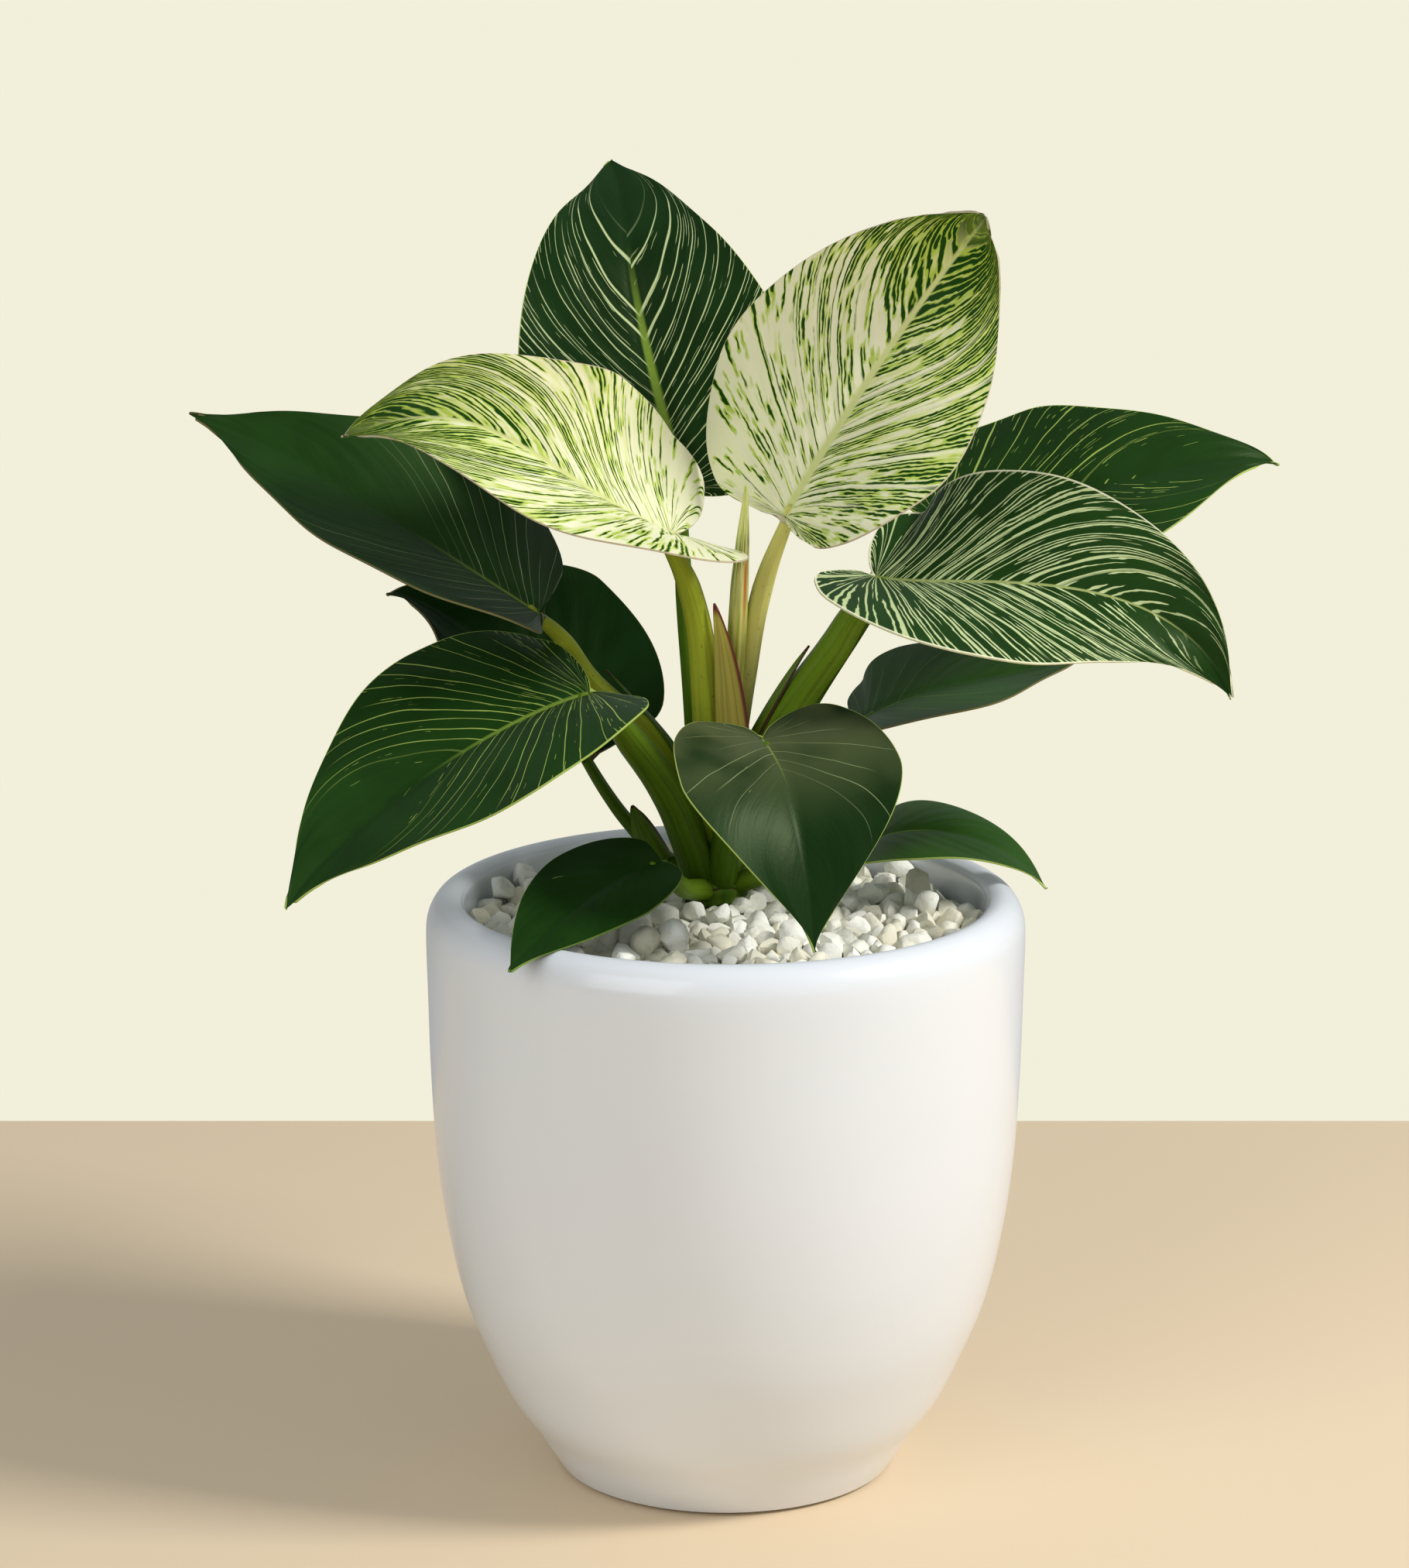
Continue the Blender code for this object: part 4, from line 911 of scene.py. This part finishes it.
def leaf_blade(key, settings):
    """One leaf blade with pleats along its veins, a sunk midrib and a keel below."""
    blade = Blade(BLADES[key])
    rows, half = settings.rows, settings.columns
    obj, row, column = new_grid(rows, 2 * half)
    taus = leaf_rows(blade, rows)
    shares = (np.arange(half + 1) / half) ** 0.85
    table = [blade.veins(taus, np.full(rows + 1, s)) for s in shares]
    flat = np.array(table).transpose(2, 0, 1)
    steps = np.linalg.norm(np.diff(flat, axis=1), axis=2)
    along = np.concatenate([np.zeros((rows + 1, 1)), np.cumsum(steps, axis=1)], axis=1)
    middle = flat[:, int(0.78 * half)]
    gaps = np.linalg.norm(np.diff(middle, axis=0), axis=1)
    across = np.concatenate([[0.0], np.cumsum(gaps)])[row]

    out = np.abs(column - half)
    side = np.where(column < half, 1.0, -1.0)
    u, v = flat[row, out].T
    share = shares[out]
    along_mm = along[row, out]
    from_edge = along[row, half] - along_mm
    towards_tip = u / blade.rib.length

    seed = MARKINGS[key]["seed"]
    pleat = np.cos(across * math.tau / PLEAT_GAP + side * 0.9 + seed)
    window = np.sin(math.pi * np.clip(share, 0.0, 1.0)) ** 0.8
    wave = np.sin(across * math.tau / WAVE_GAP + side * 1.7 + seed * 2.0) * share ** 2
    groove = np.exp(-(v / GROOVE_WIDTH) ** 2) * (1.0 - 0.8 * np.clip(towards_tip, 0.0, 1.0))
    size = blade.half_width / 40.0
    depth = {**PLAIN_LEAF, **MARKINGS[key]}["pleat"]
    rise = ((depth * pleat * window + WAVE_HEIGHT * wave) * size
            - GROOVE_DEPTH * groove * size)
    inside = (row > 0) & (row < rows)
    rise = np.where(inside, rise, 0.0)
    set_points(obj, blade.place(u, v, side, rise) * MM)

    store(obj.data, "vein", "FLOAT_VECTOR",
          np.stack([across, side * share, along_mm], axis=1))
    store(obj.data, "flat", "FLOAT_VECTOR",
          np.stack([towards_tip, side * v, np.ones(len(u))], axis=1))
    store(obj.data, "from_edge", "FLOAT", from_edge)
    store(obj.data, "foot", "FLOAT", flat[row, 0, 0] / blade.rib.length)

    thin = settings.thickness / settings.rib
    keel = np.exp(-(v / (2.0 * size)) ** 2) * np.clip(1.0 - towards_tip, 0.0, 1.0)
    weights = np.clip(thin + (1.0 - thin) * keel, 0.0, 1.0)
    group = obj.vertex_groups.new(name="keel")
    for index, weight in enumerate(weights):
        group.add([index], float(weight), "REPLACE")
    work_on(obj)
    bpy.ops.object.mode_set(mode="EDIT")
    bpy.ops.mesh.select_all(action="SELECT")
    bpy.ops.mesh.remove_doubles(threshold=0.00002)
    bpy.ops.object.mode_set(mode="OBJECT")
    top_points = len(obj.data.vertices)
    wall = obj.modifiers.new("thickness", "SOLIDIFY")
    wall.thickness = settings.rib
    wall.offset = -1.0
    wall.use_rim = True
    wall.vertex_group = "keel"
    apply_modifier(obj, "thickness")
    obj.vertex_groups.clear()
    layer = obj.data.attributes["flat"]
    values = np.zeros(len(obj.data.vertices) * 3, np.float32)
    layer.data.foreach_get("vector", values)
    values = values.reshape(-1, 3)
    values[top_points:, 2] = 0.0
    layer.data.foreach_set("vector", values.ravel())
    return settle_piece(obj, "leaf_" + key, leaf_material(key, settings),
                        ["blade_" + key], 55.0)


def stalk_line(points, steps=12):
    """Centres and radii along a smooth curve through points (x, y, z, radius)."""
    clear_selection()
    bpy.ops.curve.primitive_bezier_curve_add(location=(0.0, 0.0, 0.0))
    obj = bpy.context.object
    spline = obj.data.splines[0]
    spline.bezier_points.add(len(points) - len(spline.bezier_points))
    for knot, (x, y, z, _) in zip(spline.bezier_points, points):
        knot.co = (x * MM, y * MM, z * MM)
        knot.handle_left_type = "AUTO"
        knot.handle_right_type = "AUTO"
    obj.data.dimensions = "3D"
    obj.data.resolution_u = steps
    bpy.ops.object.convert(target="MESH")
    centres = np.array([v.co for v in obj.data.vertices]) / MM
    bpy.data.objects.remove(obj, do_unlink=True)
    knots = np.linspace(0.0, len(points) - 1.0, len(centres))
    radii = np.interp(knots, range(len(points)), [p[3] for p in points])
    return centres, radii


def ring_frames(centres):
    """Two sides of every ring, carried along a line of centres without twist."""
    tangents = np.gradient(centres, axis=0)
    tangents /= np.linalg.norm(tangents, axis=1)[:, None]
    first = np.cross(tangents[0], (0.0, 1.0, 0.0))
    firsts = []
    for tangent in tangents:
        first = first - tangent * (first @ tangent)
        first = first / np.linalg.norm(first)
        firsts.append(first)
    firsts = np.array(firsts)
    return tangents, firsts, np.cross(tangents, firsts)


def round_body(centres, radii, profile, ring=28, caps=4):
    """Closed body round a line, with a cross-section that profile(angle, t) shapes."""
    tangents, first, second = ring_frames(centres)
    rows = len(centres) - 1
    obj, row, column = new_grid(rows + 2 * caps, ring)
    ahead = np.clip(row - caps, 0, rows)
    cap = np.maximum(caps - row, 0) + np.maximum(row - caps - rows, 0)
    bulge = cap / caps
    angle = column * math.tau / ring
    t = ahead / rows
    radius = radii[ahead] * profile(angle, t) * np.sqrt(np.maximum(1.0 - bulge ** 2, 0.0))
    out = np.where(row < caps, -1.0, 1.0) * bulge * radii[ahead] * 0.6
    points = (centres[ahead] + tangents[ahead] * out[:, None]
              + first[ahead] * (radius * np.cos(angle))[:, None]
              + second[ahead] * (radius * np.sin(angle))[:, None])
    set_points(obj, points * MM)
    lengths = np.linalg.norm(np.diff(centres, axis=0), axis=1)
    along = np.concatenate([[0.0], np.cumsum(lengths)])[ahead]
    store(obj.data, "skin", "FLOAT_VECTOR",
          np.stack([np.cos(angle), np.sin(angle), along], axis=1))
    tidy_mesh(obj, 0.00001)
    return obj


def soil_level(radius):
    """Height of the domed soil at a distance from the pot's axis."""
    return SOIL_TOP + SOIL_DOME * (1.0 - (radius / SOIL_RADIUS) ** 2)


def smooth_line(points, steps):
    """Points on a smooth line that runs through all the given points."""
    p = np.array([points[0], *points, points[-1]], float)
    out = []
    for k in range(1, len(p) - 2):
        for t in np.arange(steps) / steps:
            out.append(0.5 * (2 * p[k] + (p[k + 1] - p[k - 1]) * t
                              + (2 * p[k - 1] - 5 * p[k] + 4 * p[k + 1] - p[k + 2]) * t ** 2
                              + (3 * p[k] - p[k - 1] - 3 * p[k + 1] + p[k + 2]) * t ** 3))
    out.append(p[-2])
    return [tuple(q) for q in out]


def spin_profile(profile, steps):
    """Draw a profile of (radius, height) point by point and spin it round the Z axis."""
    clear_selection()
    radius, height = profile[0]
    bpy.ops.mesh.primitive_plane_add(size=MM, location=(0.0, 0.0, 0.0))
    obj = bpy.context.object
    bpy.ops.object.mode_set(mode="EDIT")
    bpy.ops.mesh.select_all(action="SELECT")
    bpy.ops.mesh.merge(type="CENTER")
    bpy.ops.transform.translate(value=(radius * MM, 0.0, height * MM))
    for r, z in profile[1:]:
        bpy.ops.mesh.extrude_region_move(
            TRANSFORM_OT_translate={"value": ((r - radius) * MM, 0.0, (z - height) * MM)})
        radius, height = r, z
    bpy.ops.mesh.select_all(action="SELECT")
    bpy.ops.mesh.spin(steps=steps, angle=math.tau, center=(0.0, 0.0, 0.0),
                      axis=(0.0, 0.0, 1.0))
    bpy.ops.object.mode_set(mode="OBJECT")
    tidy_mesh(obj, 0.00001)
    return obj


def chip_kinds(rng, count):
    """Worn stones of unit size: balls with flats pressed into them at random."""
    kinds = []
    for _ in range(count):
        clear_selection()
        bpy.ops.mesh.primitive_ico_sphere_add(subdivisions=3, radius=1.16)
        obj = bpy.context.object
        flats = []
        for _ in range(9):
            flats.append((Vector([rng.gauss(0.0, 1.0) for _ in range(3)]).normalized(),
                          rng.uniform(0.60, 0.84)))
        for vert in obj.data.vertices:
            for normal, limit in flats:
                over = vert.co.dot(normal) - limit
                if over > 0.0:
                    vert.co -= normal * over
        thin = obj.modifiers.new("fewer", "DECIMATE")
        thin.ratio = 0.18
        apply_modifier(obj, "fewer")
        kinds.append(obj)
    return kinds


def stalk_capsules():
    """Low stretches of stem and stalks that the chips keep clear of."""
    rods = [((*STEM_CENTRE, 150.0), (*STEM_CENTRE, 176.0), STEM_RADIUS + 0.4)]
    for key in LOW_STALKS:
        for a, b in zip(STALKS[key], STALKS[key][1:]):
            if min(a[2] - a[3], b[2] - b[3]) < LOW_HEIGHT:
                rods.append((a[:3], b[:3], 0.5 * (a[3] + b[3])))
    return rods


def settled_chips(rng, settings):
    """Places and radii of the chips after they have pushed each other apart."""
    small = settings.smallest / MM
    large = settings.largest / MM
    count = settings.count
    radius = np.array([rng.uniform(small, large) for _ in range(count)])
    spread = [CHIP_CIRCLE * math.sqrt(rng.random()) for _ in range(count)]
    turn = [rng.uniform(0.0, math.tau) for _ in range(count)]
    place = np.array([(s * math.cos(a), s * math.sin(a), 0.0) for s, a in zip(spread, turn)])
    place[:, 2] = SOIL_TOP + CHIP_LOW + np.array(
        [rng.uniform(0.0, CHIP_RISE) for _ in range(count)])
    reach = CHIP_REACH * (radius[:, None] + radius[None, :])
    rods = [(np.array(a), np.array(b), r) for a, b, r in stalk_capsules()]
    for _ in range(CHIP_ROUNDS):
        place[:, 2] -= CHIP_FALL
        gap = place[:, None, :] - place[None, :, :]
        far = np.linalg.norm(gap, axis=2) + np.eye(count) * 99.0
        push = np.maximum(reach - far, 0.0) / far * CHIP_PUSH
        place += (gap * push[:, :, None]).sum(axis=1)
        for a, b, r in rods:
            line = b - a
            f = np.clip((place - a) @ line / (line @ line), 0.0, 1.0)
            off = place - (a + f[:, None] * line)
            off_len = np.linalg.norm(off, axis=1) + 1e-6
            short = np.maximum(r + radius * 0.8 - off_len, 0.0)
            place += off / off_len[:, None] * short[:, None]
        wide = np.hypot(place[:, 0], place[:, 1]) + 1e-6
        limit = CHIP_WALL - radius * 0.85
        place[:, :2] *= np.minimum(1.0, limit / wide)[:, None]
        ground = soil_level(np.minimum(wide, 73.0)) + radius * 0.5
        place[:, 2] = np.maximum(place[:, 2], ground)
    kept = place[:, 2] + radius < SOIL_TOP + CHIP_TOP
    for x, y, bare in BARE_SPOTS:
        kept &= np.hypot(place[:, 0] - x, place[:, 1] - y) > bare
    return place[kept], radius[kept]


class BIRKIN_OT_make_pot(bpy.types.Operator):
    """Turn the glazed pot"""

    bl_idname = "birkin.make_pot"
    bl_label = "Pot"

    def execute(self, context):
        settings = context.scene.birkin_pot
        lift = settings.height / MM - max(z for _, z in POT_OUTER)
        wall = smooth_line(POT_OUTER[1:] + POT_INNER, 5)
        wall = [(r, z + (lift if z > 20.0 else 0.0)) for r, z in wall]
        profile = [(0.0, 0.0), (40.0, 0.0), (45.5, 0.25)] + wall + [(0.0, POT_FLOOR)]
        obj = spin_profile(profile, settings.steps)
        settle_piece(obj, "pot_glazed", glaze_material(settings), ["pot"], 30.0)
        return {"FINISHED"}


class BIRKIN_OT_make_soil(bpy.types.Operator):
    """Fill the pot with crumbly soil"""

    bl_idname = "birkin.make_soil"
    bl_label = "Soil"

    def execute(self, context):
        settings = context.scene.birkin_ground
        crown = [(r, soil_level(r)) for r in np.linspace(0.0, SOIL_RADIUS, 60)]
        wall = [(r - 0.6, z) for r, z in POT_INNER if z < SOIL_TOP][:-1]
        base = [(43.0, POT_FLOOR + 1.8), (0.0, POT_FLOOR + 0.3)]
        obj = spin_profile(crown + wall + base, 180)
        for vert in obj.data.vertices:
            if vert.co.z > (SOIL_TOP - 1.0) * MM:
                spot = Vector(vert.co) * 420.0
                crumb = noise.fractal(spot, 1.0, 2.1, 4)
                vert.co.z += settings.crumb * crumb
        obj.data.update()
        settle_piece(obj, "soil_crumbs", soil_material(settings), ["soil"], 60.0)
        return {"FINISHED"}


class BIRKIN_OT_make_chips(bpy.types.Operator):
    """Scatter the stone chips on the soil"""

    bl_idname = "birkin.make_chips"
    bl_label = "Stone chips"

    def execute(self, context):
        settings = context.scene.birkin_ground
        rng = random.Random(CHIP_SEED)
        kinds = chip_kinds(rng, CHIP_KINDS)
        places, radii = settled_chips(rng, settings)
        stones = []
        for place, radius in zip(places, radii):
            kind = rng.choice(kinds)
            stone = bpy.data.objects.new("chip", kind.data.copy())
            context.scene.collection.objects.link(stone)
            turn = Euler([rng.uniform(0.0, math.tau) for _ in range(3)]).to_matrix().to_4x4()
            size = [radius * MM * rng.uniform(0.92, 1.22), radius * MM * rng.uniform(0.85, 1.1),
                    radius * MM * rng.uniform(0.72, 0.98)]
            stretch = Matrix.Diagonal((*size, 1.0))
            stone.data.transform(Matrix.Translation(Vector(place) * MM) @ turn @ stretch)
            store(stone.data, "tone", "FLOAT", [rng.random()] * len(stone.data.vertices))
            stones.append(stone)
        for kind in kinds:
            bpy.data.objects.remove(kind, do_unlink=True)
        work_on(stones[0])
        for stone in stones:
            stone.select_set(True)
        bpy.ops.object.join()
        settle_piece(stones[0], "chips_loose", stone_material(settings), ["gravel"],
                     50.0)
        return {"FINISHED"}


class BIRKIN_OT_make_stem(bpy.types.Operator):
    """Make the ringed stem"""

    bl_idname = "birkin.make_stem"
    bl_label = "Stem"

    def execute(self, context):
        settings = context.scene.birkin_stalk
        low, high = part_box("stem")
        heights = np.linspace(low.z / MM + 2.0, high.z / MM - 2.0, 70)
        centres = np.array([(*STEM_CENTRE, z) for z in heights])
        radii = np.full(len(heights), STEM_RADIUS - 0.7)

        def rings(angle, t):
            joint = np.cos((t * 5.0 + 0.06 * np.cos(angle)) * math.tau)
            return 1.0 + 0.035 * np.maximum(joint, -0.4) + 0.03 * np.cos(5.0 * angle + 4.0 * t)

        obj = round_body(centres, radii, rings, ring=48)
        settle_piece(obj, "stem_ringed", stem_material(settings), ["stem"])
        return {"FINISHED"}


class BIRKIN_OT_make_stalks(bpy.types.Operator):
    """Make the twelve leaf stalks"""

    bl_idname = "birkin.make_stalks"
    bl_label = "Leaf stalks"

    def execute(self, context):
        settings = context.scene.birkin_stalk
        for key, points in STALKS.items():
            rib = Blade(BLADES[key]).rib
            point, tangent, normal, _ = [part[0] for part in rib.frames(np.array([0.0]))]
            tip = point - normal * STALK_TIP_DROP + tangent * STALK_TIP_INSET
            line = [*points, (*(float(c) for c in tip), STALK_TIP_RADIUS)]
            centres, radii = stalk_line(line)
            young, old, streak = STALK_TONES[key]
            phase = MARKINGS[key]["seed"]

            def ridges(angle, t):
                return (1.0 + 0.035 * np.cos(3.0 * angle + phase)
                        + 0.02 * np.cos(8.0 * angle + 2.0 * phase + 2.0 * t))

            obj = round_body(centres, radii, ridges)
            skin = stalk_material("stalk_skin_" + key, tuple(getattr(settings, young)),
                                  tuple(getattr(settings, old)), streak, settings)
            settle_piece(obj, "stalk_" + key, skin, ["petiole_" + key])
        return {"FINISHED"}


class BIRKIN_OT_make_rolled_leaf(bpy.types.Operator):
    """Make the new leaf that is still rolled up"""

    bl_idname = "birkin.make_rolled_leaf"
    bl_label = "Rolled leaf"

    def execute(self, context):
        centres, radii = stalk_line(ROLLED_LEAF, 16)

        def roll(angle, t):
            lap = (angle / math.tau + 0.1 * t + 0.62) % 1.0
            return 0.93 + 0.12 * np.clip(lap * 1.06, 0.0, 1.0) - 0.10 * (lap > 0.96)

        obj = round_body(centres, radii, roll, ring=40)
        skin = rolled_material(context.scene.birkin_stalk, context.scene.birkin_leaf)
        settle_piece(obj, "leaf_rolled", skin, ["spear_leaf"])
        return {"FINISHED"}


class BIRKIN_OT_make_sheaths(bpy.types.Operator):
    """Make the thin sheaths at the stalks"""

    bl_idname = "birkin.make_sheaths"
    bl_label = "Sheaths"

    def execute(self, context):
        settings = context.scene.birkin_stalk
        for key, (axis, angles) in SHEATHS.items():
            obj, row, column = new_grid(SHEATH_ROWS, SHEATH_COLUMNS)
            f = row / SHEATH_ROWS
            g = 2.0 * column / SHEATH_COLUMNS - 1.0
            centre = cubic(axis, f)
            ahead = cubic(axis, f + 0.01)[:, :3] - cubic(axis, f - 0.01)[:, :3]
            ahead /= np.linalg.norm(ahead, axis=1)[:, None]
            first = np.array([1.0, 0.0, 0.0]) - ahead * ahead[:, :1]
            first /= np.linalg.norm(first, axis=1)[:, None]
            second = np.cross(ahead, first)
            narrow = np.maximum(1.0 - f ** 2.2, 0.0) ** 0.75
            middle = 0.5 * (angles[0] + angles[1])
            reach = 0.5 * (angles[1] - angles[0])
            angle = np.radians(middle + reach * g * np.maximum(narrow, 0.02))
            radius = centre[:, 3] + 0.35 * np.abs(g) ** 3
            points = (centre[:, :3] + first * (radius * np.cos(angle))[:, None]
                      + second * (radius * np.sin(angle))[:, None])
            set_points(obj, points * MM)
            store(obj.data, "skin", "FLOAT_VECTOR", np.stack([g, f, f * 0.0], axis=1))
            wall = obj.modifiers.new("thickness", "SOLIDIFY")
            wall.thickness = SHEATH_WALL
            wall.offset = 0.0
            apply_modifier(obj, "thickness")
            tidy_mesh(obj, 0.000005)
            settle_piece(obj, "sheath_" + key + "_thin",
                         sheath_material(key, settings), ["sheath_" + key])
        return {"FINISHED"}


class BIRKIN_OT_make_leaves(bpy.types.Operator):
    """Make the twelve open leaves"""

    bl_idname = "birkin.make_leaves"
    bl_label = "Leaves"

    def execute(self, context):
        for key in BLADES:
            leaf_blade(key, context.scene.birkin_leaf)
        return {"FINISHED"}


def area_light(name, place, target, size, power, colour):
    """Soft rectangular studio light aimed at a point."""
    light = bpy.data.lights.new(name, "AREA")
    light.shape = "RECTANGLE"
    light.size, light.size_y = size
    light.energy = power
    light.color = colour
    obj = bpy.data.objects.new(name, light)
    bpy.context.scene.collection.objects.link(obj)
    obj.location = place
    aim = Vector(target) - Vector(place)
    obj.rotation_euler = aim.to_track_quat("-Z", "Y").to_euler()
    return obj


class BIRKIN_OT_make_stage(bpy.types.Operator):
    """Set the table, the light and the camera"""

    bl_idname = "birkin.make_stage"
    bl_label = "Stage"

    def execute(self, context):
        settings = context.scene.birkin_stage
        clear_selection()
        width, depth = TABLE_SIZE
        bpy.ops.mesh.primitive_plane_add(size=1.0)
        table = bpy.context.object
        table.data.transform(Matrix.Translation((0.0, settings.table_edge - depth * 0.5, 0.0))
                             @ Matrix.Diagonal((width, depth, 1.0, 1.0)))
        table.name = "table_top"
        table.data.materials.append(plain_material("table_top", tuple(settings.table), 0.6))

        world = bpy.data.worlds.new("studio")
        context.scene.world = world
        world.use_nodes = True
        nodes = world.node_tree.nodes
        links = world.node_tree.links
        room = nodes["Background"]
        room.inputs["Color"].default_value = (0.95, 1.0, 1.02, 1.0)
        room.inputs["Strength"].default_value = settings.fill
        seen = nodes.new("ShaderNodeBackground")
        seen.inputs["Color"].default_value = (*settings.wall, 1.0)
        either = nodes.new("ShaderNodeMixShader")
        links.new(nodes.new("ShaderNodeLightPath").outputs["Is Camera Ray"], either.inputs[0])
        links.new(room.outputs[0], either.inputs[1])
        links.new(seen.outputs[0], either.inputs[2])
        links.new(either.outputs[0], nodes["World Output"].inputs["Surface"])

        area_light("key_light", (1.30, -0.42, 1.22), (0.0, 0.0, 0.16), (0.4, 0.4), 24.5,
                   (1.0, 0.985, 0.96))
        area_light("left_light", (-0.9, -1.25, 0.95), (0.0, 0.0, 0.2), (1.1, 1.1), 7.5,
                   (0.98, 0.99, 1.0))
        context.scene.view_settings.view_transform = "Standard"

        camera = bpy.data.cameras.new("camera")
        camera.lens = settings.lens
        camera.sensor_width = 36.0
        camera.sensor_fit = "AUTO"
        camera.clip_start = 0.05
        camera.clip_end = 20.0
        obj = bpy.data.objects.new("camera", camera)
        context.scene.collection.objects.link(obj)
        obj.location = settings.camera_place
        obj.rotation_euler = (math.radians(90.0) - settings.camera_pitch, 0.0, 0.0)
        context.scene.camera = obj
        return {"FINISHED"}


class BIRKIN_PT_panel(bpy.types.Panel):
    """Lists the steps that make the plant"""

    bl_label = "Birkin"
    bl_idname = "BIRKIN_PT_panel"
    bl_space_type = "VIEW_3D"
    bl_region_type = "UI"
    bl_category = "Birkin"

    def draw(self, context):
        for step in STEPS:
            self.layout.operator(step.bl_idname)


STEPS = (
    BIRKIN_OT_make_stage, BIRKIN_OT_make_pot, BIRKIN_OT_make_soil, BIRKIN_OT_make_chips,
    BIRKIN_OT_make_stem, BIRKIN_OT_make_stalks, BIRKIN_OT_make_rolled_leaf,
    BIRKIN_OT_make_sheaths, BIRKIN_OT_make_leaves,
)
SETTINGS = {
    "birkin_pot": BirkinPotSettings, "birkin_ground": BirkinGroundSettings,
    "birkin_leaf": BirkinLeafSettings, "birkin_stalk": BirkinStalkSettings,
    "birkin_stage": BirkinStageSettings,
}


def register():
    """Register the settings, the operators and the panel."""
    for name, group in SETTINGS.items():
        bpy.utils.register_class(group)
        setattr(bpy.types.Scene, name, bpy.props.PointerProperty(type=group))
    for step in STEPS:
        bpy.utils.register_class(step)
    bpy.utils.register_class(BIRKIN_PT_panel)


def unregister():
    """Take back what register did."""
    bpy.utils.unregister_class(BIRKIN_PT_panel)
    for step in reversed(STEPS):
        bpy.utils.unregister_class(step)
    for name, group in SETTINGS.items():
        delattr(bpy.types.Scene, name)
        bpy.utils.unregister_class(group)


def main():
    """Make the whole plant."""
    register()
    for step in STEPS:
        group, call = step.bl_idname.split(".")
        getattr(getattr(bpy.ops, group), call)()


if __name__ == "__main__":
    main()
